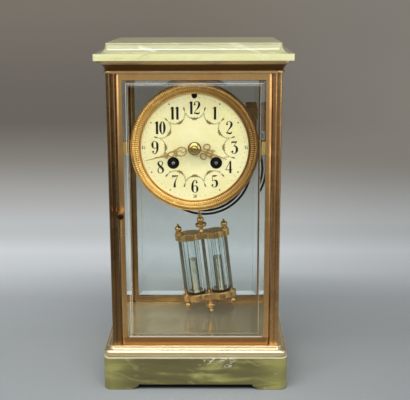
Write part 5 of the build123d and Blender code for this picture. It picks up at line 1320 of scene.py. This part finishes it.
@dataclass(frozen=True)
class Hands:
    """The two hands and the round collet that holds them, whose rows count out from its base."""

    COLLET: ClassVar[Profile] = (
        (0.0, 2.0), (0.8, 1.97), (1.5, 1.85), (1.75, 1.65), (1.95, 1.62), (2.3, 1.72), (3.2, 1.5),
        (4.0, 1.1), (4.5, 0.65), (4.7, 0.3), (4.7, 0.0), (0.0, 0.0),
    )
    RIM: ClassVar[Profile] = ((4.72, 0.0), (4.72, 0.35), (4.95, 0.4), (5.15, 0.25), (5.2, 0.0))

    minute: Hand = Hand(
        "minute_hand_pierced", "minute_hand", 255.7, -44.9,
        loops=(
            Oval(0.0, 10.6, 3.3, 4.1, 0.24), Oval(0.0, 18.5, 1.9, 2.5, 0.24),
            Oval(2.0, 15.2, 0.6, 0.7, 0.16), Oval(1.2, 22.8, 0.8, 1.0, 0.2),
        ),
        link=((0.2, 6.6, 0.2), (-1.2, 9.4, 0.24), (1.1, 11.8, 0.24), (-0.2, 14.8, 0.2), (0.0, 16.0, 0.26)),
        spine=(
            (0.0, 20.7, 0.3), (0.0, 23.4, 0.3), (0.0, 25.4, 0.6), (0.0, 27.2, 0.3), (0.0, 28.6, 0.42),
            (0.0, 30.0, 0.24), (0.0, 36.0, 0.2), (0.0, 40.7, 0.08),
        ),
    )
    hour: Hand = Hand(
        "hour_hand_pierced", "hour_hand", 109.9, -43.1,
        loops=(
            Oval(4.0, 8.7, 2.1, 2.5, 0.22, -0.5), Oval(1.2, 12.3, 1.1, 2.2, 0.2),
            Oval(2.6, 14.6, 0.7, 0.8, 0.18),
        ),
        link=((0.0, 5.0, 0.45), (0.0, 7.4, 0.3), (0.0, 9.0, 0.6), (0.0, 10.4, 0.3)),
        spine=(
            (0.0, 14.2, 0.34), (0.0, 17.4, 0.7), (0.0, 19.8, 0.34), (0.0, 23.0, 0.24), (0.0, 26.9, 0.08),
        ),
    )
    collet_base: float = -45.9
    segments: int = 72

    def build(self) -> None:
        """Make the hands and their collet."""
        self.minute.build()
        self.hour.build()
        # The collet's rim is a dark ring of painted shade.
        for name, rows, closed, finish, stands_for in (
            ("hand_collet", self.COLLET, False, Finish.COLLET_GILT, ["hand_nut"]),
            ("hand_collet_rim", self.RIM, True, Finish.HAND_EDGE, []),
        ):
            profile = [(radius, self.collet_base - out) for radius, out in rows]
            Lathe.piece(
                name, profile, self.segments, finish, "minute_hand", "gilt_brass", closed=closed,
                stands_for=stands_for,
            )


@dataclass(frozen=True)
class Eyes:
    """Holes of the dial lined with black rings and sleeves as painted shade, and the bright ends of the
    winding squares in them.
    """

    TIP: ClassVar[Profile] = ((1.2, 0.0), (1.2, 0.25), (1.0, 0.4), (0.65, 0.4), (0.5, 0.2), (0.5, 0.0))

    winder_hole: float = 4.4
    winder_lap: float = 0.3
    regulator_rise: float = 40.5
    regulator_hole: float = 2.0
    regulator_lap: float = 0.2
    depth: float = 5.0
    lining_segments: int = 56
    tip_segments: int = 32

    def build(self) -> None:
        """Line the three holes and tip the two squares."""
        for train, side in (("time", -1), ("strike", 1)):
            place = (side * WINDER_ACROSS, DIAL_Z - WINDER_DROP)
            self._lining(f"{train}_winder_eye", place, self.winder_hole, self.winder_lap)
            low, _ = (Vector(corner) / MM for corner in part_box(f"{train}_winding_arbor"))
            tip = [(radius, low.y - out) for radius, out in self.TIP]
            Lathe.piece(
                f"{train}_winder_tip", tip, self.tip_segments, Finish.BRIGHT_TIP, f"{train}_winder",
                "polished_steel", centre=place,
            )
        place = (0.0, DIAL_Z + self.regulator_rise)
        self._lining("regulator_eye", place, self.regulator_hole, self.regulator_lap)

    def _lining(self, name: str, place: Place, hole: float, lap: float) -> None:
        """Line one hole with a black ring and sleeve, painted shade that makes the hole look dark.

        Args:
            name: Name of the piece.
            place: Middle of the hole across and up.
            hole: Radius of the hole.
            lap: How far the ring laps over the hole's edge.
        """
        face = DIAL_FACE_Y
        profile = (
            (hole + lap, face), (hole + lap, face - 0.06), (hole + lap / 2, face - 0.14),
            (hole - 0.1, face - 0.12), (hole - 0.25, face + 0.1), (hole - 0.25, face + self.depth),
            (hole - 0.02, face + self.depth), (hole - 0.02, face),
        )
        Lathe.piece(
            name, profile, self.lining_segments, Finish.BLACK_LINING, "case", "cream_enamel", centre=place
        )


@dataclass(frozen=True)
class GlassLights:
    """Painted highlights on the plate glasses: bright lines at the arris of each bevel, and at the foot of
    the front one.
    """

    ROUND: ClassVar[Corners] = ((-1, -1), (1, -1), (1, 1), (-1, 1))
    FOOT: ClassVar[Corners] = ((-1, -1), (1, -1))
    LEFT: ClassVar[Corners] = ((-1, 1), (-1, -1))
    TOP: ClassVar[Corners] = ((-1, 1), (1, 1))

    bevel: float = 5.4
    fall: float = 1.7
    lip: float = 1.6
    arris_w: float = 0.35
    high_run: float = 4.1
    foot_gap: float = 0.05
    foot_w: float = 1.15
    film: float = 0.05

    def build(self) -> None:
        """Lay the lines on the four glasses."""
        arris = (self.bevel, self.bevel + self.arris_w)
        high = (self.high_run, self.high_run + self.arris_w)
        foot = (self.lip + self.foot_gap, self.lip + self.foot_w)
        for wall, body in (
            ("front_door", "front_door"), ("back_door", "back_door"), ("left_side", "case"),
            ("right_side", "case"),
        ):
            self._line(f"{wall}_arris", f"{wall}_glass", body, arris, Finish.ARRIS, self.ROUND)
        for side, run, finish, corners in (
            ("foot", foot, Finish.LOW_ARRIS, self.FOOT), ("top", high, Finish.HIGH_ARRIS, self.TOP),
            ("left", high, Finish.HIGH_ARRIS, self.LEFT),
        ):
            self._line(f"front_door_{side}_light", "front_door_glass", "front_door", run, finish, corners)

    def _line(self, name: str, node: str, body: str, run: Span, finish: Finish, corners: Corners) -> None:
        """Lay one painted highlight line on a glass.

        Args:
            name: Name of the piece.
            node: Node of the glass.
            body: Body that the glass rides on.
            run: Distances of the line's two sides from the edge of the glass.
            finish: Finish of the line.
            corners: Corners of the glass that it runs between; four of them make a closed line.
        """
        low, high = (Vector(corner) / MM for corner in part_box(node))
        middle = (low + high) / 2
        thin = 0 if high.x - low.x < high.y - low.y else 1
        wide = 1 - thin
        out = 1.0 if middle[thin] > 0 else -1.0
        face = high[thin] if out > 0 else low[thin]
        points = []
        for across, up in corners:
            for distance, lift in ((run[0], 0.0), (run[0], self.film), (run[1], self.film), (run[1], 0.0)):
                sunk = self.fall * max(1 - distance / self.bevel, 0.0)
                point = Vector((0.0, 0.0, middle.z + up * ((high.z - low.z) / 2 - distance)))
                point[wide] = middle[wide] + across * ((high[wide] - low[wide]) / 2 - distance)
                point[thin] = face + out * (lift - sunk)
                points.append(point)
        count = len(corners)
        closed = corners == self.ROUND
        faces = [
            [4 * i + j, 4 * i + (j + 1) % 4, 4 * ((i + 1) % count) + (j + 1) % 4, 4 * ((i + 1) % count) + j]
            for i in range(count if closed else 1) for j in range(4)
        ]
        if not closed:
            faces += [[3, 2, 1, 0], [4, 5, 6, 7]]
        Workshop.piece(name, points, faces, finish, body, "clear_glass", (), None)


@dataclass(frozen=True)
class Streak:
    """An upright line on a vial or a column of the bob, between two angles and two distances down."""

    across: float
    radius: float
    angles: Span
    downs: Span


@dataclass(frozen=True)
class BobLights:
    """Painted reflections down the bob's vials and columns as light and dark lines, and dark rings of
    painted shade at the vials' feet.
    """

    hook: Point = (2.167, 13.0, 132.5)
    tilt: float = 6.6
    lobe: float = 10.7
    vial_r: float = 7.3
    column_r: float = 3.9
    seat_r: float = 7.9
    vial: Span = (25.4, 72.2)
    column: Span = (44.0, 72.2)
    column_angles: Span = (-18.0, 26.0)
    seat: Span = (71.9, 74.3)
    film: Span = (0.01, 0.04)
    step_deg: float = 6.0
    darks: tuple[Point, ...] = (
        (-1, -25, -20), (-1, 27, 33), (-1, 44, 46), (1, -30, -26), (1, -16, -13), (1, -1, 2), (1, 22, 27),
        (1, 36, 38),
    )
    lights: tuple[Point, ...] = (
        (-1, -72, -60), (-1, 52, 66), (-1, -12, -8), (1, -62, -50), (1, 6, 12), (1, 50, 64),
    )

    def build(self) -> None:
        """Lay every line and ring."""
        darks, lights = (
            [Streak(side * self.lobe, self.vial_r, (first, last), self.vial) for side, first, last in rows]
            for rows in (self.darks, self.lights)
        )
        cores, feet = (
            [Streak(side * self.lobe, radius, angles, downs) for side in (-1, 1)]
            for radius, angles, downs in (
                (self.column_r, self.column_angles, self.column),
                (self.seat_r, (-180.0, 180.0), self.seat),
            )
        )
        self._piece("bob_vial_shades", darks, Finish.VIAL_SHADE, "clear_glass")
        self._piece("bob_vial_lights", lights, Finish.VIAL_LIGHT, "clear_glass")
        self._piece("bob_column_lights", cores, Finish.COLUMN_LIGHT, "bright_column")
        self._piece("bob_vial_feet", feet, Finish.PATINA, "gilt_brass")

    def _piece(self, name: str, streaks: Sequence[Streak], finish: Finish, slot: str) -> None:
        """Make one piece of several streaks.

        Args:
            name: Name of the piece.
            streaks: The streaks.
            finish: Finish of the piece.
            slot: Material slot of the record.
        """
        points: list[Vector] = []
        faces: list[list[int]] = []
        for streak in streaks:
            first, last = streak.angles
            steps = max(1, round((last - first) / self.step_deg))
            start = len(points)
            for i in range(steps + 1):
                angle = math.radians(first + (last - first) * i / steps)
                for lift in self.film:
                    for down in streak.downs:
                        points.append(self._place(streak.across, streak.radius + lift, angle, down))
            for i in range(steps):
                a, b = start + 4 * i, start + 4 * (i + 1)
                faces += [[a + j, a + k, b + k, b + j] for j, k in ((0, 1), (1, 3), (3, 2), (2, 0))]
            if last - first < 360:
                faces += [[start, start + 2, start + 3, start + 1]]
                end = start + 4 * steps
                faces += [[end + 1, end + 3, end + 2, end]]
        Workshop.piece(name, points, faces, finish, "bob", slot, (), 40.0)

    def _place(self, across: float, radius: float, angle: float, down: float) -> Vector:
        """Find a point round an upright of the bob, which hangs askew from its hook.

        Args:
            across: Place of the upright across the bob.
            radius: Distance from the upright's axis.
            angle: Angle round it in radians, from the front.
            down: Distance below the hook.

        Returns:
            The point in the clock's frame.
        """
        lean = math.radians(self.tilt)
        side = across + radius * math.sin(angle)
        return Vector(self.hook) + Vector((
            side * math.cos(lean) + down * math.sin(lean), -radius * math.cos(angle),
            side * math.sin(lean) - down * math.cos(lean),
        ))


@dataclass(frozen=True)
class LatchEnds:
    """Darkened, slightly domed ends of the two latch knobs."""

    DOME: ClassVar[Profile] = (
        (0.0, 0.45), (0.35, 0.42), (0.65, 0.3), (0.88, 0.14), (0.96, 0.0), (0.0, 0.0),
    )

    radius: float = 2.7
    segments: int = 40

    def build(self) -> None:
        """Turn an end for each knob."""
        for name, out in (("front_latch", -1.0), ("back_latch", 1.0)):
            low, high = (Vector(corner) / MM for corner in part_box(name))
            end = low.y if out < 0 else high.y
            centre = ((low.x + high.x) / 2, low.z + self.radius)
            profile = [(self.radius * share, end + out * lift) for share, lift in self.DOME]
            Lathe.piece(
                f"{name}_knob_end", profile, self.segments, Finish.KNOB_END, name, "case_brass",
                closed=False, centre=centre, smooth=35.0,
            )


class CadDress:
    """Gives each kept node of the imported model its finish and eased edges."""

    FRAMES = ("front_door_frame", "back_door_frame", "left_side_frame", "right_side_frame")
    INNER = ("post_back_left", "post_back_right", "left_side_frame", "right_side_frame")
    BY_NODE = {
        "onyx_plinth": Finish.PLINTH_ONYX, "onyx_top": Finish.TOP_ONYX, "cornice": Finish.CORNICE,
        "base_moulding": Finish.CASE_ACROSS, "floor_plate": Finish.FLOOR,
        "front_door_frame": Finish.CASE_FRONT, "back_door_frame": Finish.CASE_BACK,
        "movement_brackets": Finish.BRACKET, "gong_stand": Finish.GONG_IRON, "bob_rods": Finish.BOB_RODS,
        **dict.fromkeys(("post_front_left", "post_front_right"), Finish.CASE_UPRIGHT),
        **dict.fromkeys(INNER, Finish.CASE_INNER),
        **dict.fromkeys(("bob_top_plate", "bob_bottom_plate", "rating_nut"), Finish.BOB),
        **dict.fromkeys(("time_winding_arbor", "strike_winding_arbor"), Finish.DARK_STEEL),
        **dict.fromkeys(("front_plate", "regulator_arbor"), Finish.PATINA),
    }
    BY_SLOT = {
        "green_onyx": Finish.PLINTH_ONYX, "case_brass": Finish.CASE, "movement_brass": Finish.MOVEMENT,
        "gilt_brass": Finish.GILT, "clear_glass": Finish.GLASS, "cream_enamel": Finish.ENAMEL,
        "bright_column": Finish.COLUMN, "polished_steel": Finish.BRIGHT_STEEL,
        "blued_steel": Finish.BLUED_STEEL, "dark_iron": Finish.IRON,
    }
    EASED = {"onyx_plinth": 0.35, "cornice": 0.2, "base_moulding": 0.15, **dict.fromkeys(FRAMES, 0.25)}
    EASED_FROM_DEG = 50.0
    WELD = 1e-6

    def build(self) -> None:
        """Dress every node that is still shown."""
        for entry in frame["record"]["subparts"]:
            name, slot = entry["node"], entry["material_slot"]
            node = frame["nodes"][name]
            if node.hide_render:
                continue
            finish = self.BY_NODE.get(name) or self.BY_SLOT[slot]
            node.data.materials.clear()
            node.data.materials.append(PALETTE[finish])
            if name in self.EASED:
                self._ease(node, self.EASED[name])
            LOG.info("dressed %s in %s", name, finish.name)

    @classmethod
    def _ease(cls, node: bpy.types.Object, width: float) -> None:
        """Round a node's sharp edges a little, without changing its mesh.

        Args:
            node: The node.
            width: Width of the rounding in millimetres.
        """
        weld = node.modifiers.new("weld", "WELD")
        weld.merge_threshold = cls.WELD
        bevel = node.modifiers.new("ease", "BEVEL")
        bevel.width = width * MM
        bevel.segments = 2
        bevel.limit_method = "ANGLE"
        bevel.angle_limit = math.radians(cls.EASED_FROM_DEG)
        bevel.harden_normals = False


@dataclass(frozen=True)
class Backdrop:
    """A pale floor that sweeps up behind the clock as one sheet, its colours set by place: painted light
    and shade over paper and wall, and a painted shadow under the clock.
    """

    sweep_start: float = 420.0
    sweep_r: float = 260.0
    sweep_steps: int = 16
    reach: float = 2600.0
    wall_h: float = 1900.0
    paper_span: Span = (60.0, 640.0)
    # Painted light and shade along the paper: brightest behind the clock, darker up the sweep.
    paper: tuple[tuple[float, str], ...] = (
        (60.0, "a6aaab"), (160.0, "b6babc"), (250.0, "dde1e3"), (341.0, "f2f5f7"), (470.0, "d6d8d7"),
        (546.0, "b0aeaa"), (597.0, "8a847c"), (640.0, "69625a"),
    )
    # Painted shade: the wall darkens as it rises, and the paper darkens on the right.
    wall_tone: str = "7c7368"
    wall_rise: Span = (140.0, 320.0)
    right_tone: str = "948b7e"
    right_span: Span = (-100.0, 500.0)
    right_rise: Span = (10.0, 100.0)
    side_tone: str = "6e6e6c"
    side_span: Span = (0.0, 300.0)
    side_share: float = 0.3
    mirrored_tone: str = "40362a"
    mirrored_span: Span = (-400.0, -120.0)
    under_tone: str = "1a1510"
    under_across: Span = (68.0, 74.0)
    under_along: Span = (55.0, 61.0)

    def build(self) -> None:
        """Make the sheet and put it on the stage."""
        path = [(-self.reach, 0.0), (self.sweep_start, 0.0)]
        for i in range(1, self.sweep_steps + 1):
            turn = math.pi / 2 * i / self.sweep_steps
            back, rise = self.sweep_r * math.sin(turn), self.sweep_r * (1 - math.cos(turn))
            path.append((self.sweep_start + back, rise))
        path.append((self.sweep_start + self.sweep_r, self.wall_h))
        points = [Vector((x, y, z)) * MM for y, z in path for x in (-self.reach, self.reach)]
        faces = [[2 * i, 2 * i + 1, 2 * i + 3, 2 * i + 2] for i in range(len(path) - 1)]
        mesh = bpy.data.meshes.new("backdrop")
        mesh.from_pydata(points, [], faces)
        mesh.shade_smooth()
        mesh.materials.append(self._material())
        sheet = bpy.data.objects.new("backdrop", mesh)
        bpy.context.scene.collection.objects.link(sheet)

    def _material(self) -> bpy.types.Material:
        """Colour the sheet with painted light, shade and a painted shadow, and leave it clear from behind
        so that the clock's back can be seen.

        Returns:
            The sheet's material.
        """
        recipe = Recipe("backdrop_paper")
        near, far = self.paper_span
        stops = [((depth - near) / (far - near), paint(tone)) for depth, tone in self.paper]
        depth = (recipe.axis("Y") - near * MM) * (1 / ((far - near) * MM))
        colour = recipe.node("ShaderNodeValToRGB", {"stops": stops}, {0: depth})
        mirrored = recipe.node("ShaderNodeLightPath", out="Is Glossy Ray")
        # Painted shadow: the floor is nearly black under the clock, between its feet.
        under = self._near(recipe, "X", self.under_across) * self._near(recipe, "Y", self.under_along)
        for share, tone in (
            (recipe.band("Z", self.wall_rise), self.wall_tone),
            (recipe.band("X", self.right_span) * recipe.band("Z", self.right_rise), self.right_tone),
            (recipe.band("X", self.side_span) * self.side_share, self.side_tone),
            (mirrored * (1.0 - recipe.band("Y", self.mirrored_span)), self.mirrored_tone),
            (under, self.under_tone),
        ):
            colour = recipe.mix(share, colour, paint(tone))
        paper = recipe.surface(Base_Color=colour, Roughness=0.9)
        back = recipe.node("ShaderNodeNewGeometry", out="Backfacing")
        clear = recipe.node("ShaderNodeBsdfTransparent")
        return recipe.done(recipe.node("ShaderNodeMixShader", {}, {0: back, 1: paper, 2: clear}))

    @staticmethod
    def _near(recipe: Recipe, letter: str, fall: Span) -> Wire:
        """Mark what is near the middle along one axis, on both sides."""
        along = recipe.axis(letter)
        return 1.0 - (along * along).spread(*((edge * MM) ** 2 for edge in fall))


@dataclass(frozen=True)
class Lamp:
    """A soft oblong lamp that faces the clock: place and size in millimetres, power in watts."""

    AIM: ClassVar[Point] = (0.0, 0.0, 140.0)

    name: str
    at: Point
    size: Span
    power: float

    def build(self) -> None:
        """Hang the lamp."""
        data = bpy.data.lights.new(self.name, "AREA")
        data.shape = "RECTANGLE"
        data.size, data.size_y = (side * MM for side in self.size)
        data.energy = self.power
        lamp = bpy.data.objects.new(self.name, data)
        lamp.location = Vector(self.at) * MM
        aim = Vector(self.AIM) * MM - lamp.location
        lamp.rotation_euler = aim.to_track_quat("-Z", "Y").to_euler()
        bpy.context.scene.collection.objects.link(lamp)


@dataclass(frozen=True)
class Studio:
    """The camera, the backdrop, soft lamps and a quiet room."""

    camera_at: Point = (14.771, -701.982, 304.491)
    pitch: float = 12.925
    yaw: float = -0.592
    roll: float = -0.183
    lens: float = 75.165
    sensor: float = 36.0
    nearest: float = 20.0
    lamps: tuple[Lamp, ...] = (
        Lamp("key_lamp", (-450.0, -1350.0, 1020.0), (3200.0, 1250.0), 20.5),
        Lamp("top_lamp", (0.0, -250.0, 1450.0), (1500.0, 1500.0), 0.6),
        Lamp("side_lamp", (1050.0, -750.0, 260.0), (900.0, 900.0), 3.6),
        Lamp("spark_lamp", (-100.0, -700.0, 1400.0), (1500.0, 170.0), 9.0),
    )
    room_tone: str = "a9b0b6"
    room_strength: float = 0.8

    def build(self) -> None:
        """Set up everything round the clock."""
        self._camera()
        Backdrop().build()
        for lamp in self.lamps:
            lamp.build()
        self._room()
        bpy.context.scene.view_settings.view_transform = "Standard"

    def _camera(self) -> None:
        """Put the camera where the photograph was taken from."""
        a, b, c = (math.radians(angle) for angle in (self.pitch, self.yaw, self.roll))
        ahead = Vector((math.sin(b) * math.cos(a), math.cos(b) * math.cos(a), -math.sin(a)))
        right = Vector((math.cos(b), -math.sin(b), 0.0))
        up = right.cross(ahead)
        across = right * math.cos(c) + up * math.sin(c)
        upward = up * math.cos(c) - right * math.sin(c)
        data = bpy.data.cameras.new("camera")
        data.lens = self.lens
        data.sensor_width = self.sensor
        data.clip_start = self.nearest * MM
        camera = bpy.data.objects.new("camera", data)
        turn = Matrix((across, upward, -ahead)).transposed().to_4x4()
        camera.matrix_world = Matrix.Translation(Vector(self.camera_at) * MM) @ turn
        bpy.context.scene.collection.objects.link(camera)
        bpy.context.scene.camera = camera

    def _room(self) -> None:
        """Fill the rest with quiet, even light."""
        world = bpy.data.worlds.new("room")
        world.use_nodes = True
        ground = world.node_tree.nodes["Background"]
        ground.inputs["Color"].default_value = paint(self.room_tone)
        ground.inputs["Strength"].default_value = self.room_strength
        bpy.context.scene.world = world


def main() -> None:
    """Build the studio and every added piece, and dress the kept nodes."""
    logging.basicConfig(level=logging.INFO, format="%(name)s: %(message)s")
    builders: Sequence[tuple[str, Callable[[], None]]] = (
        ("studio", Studio().build),
        ("bezel", Bezel().build),
        ("dial work", DialWork().build),
        ("hands", Hands().build),
        ("dial eyes", Eyes().build),
        ("glass lights", GlassLights().build),
        ("latch ends", LatchEnds().build),
        ("bob lights", BobLights().build),
        ("kept nodes", CadDress().build),
    )
    for name, build in builders:
        build()
        LOG.info("finished %s", name)


if __name__ == "__main__":
    main()
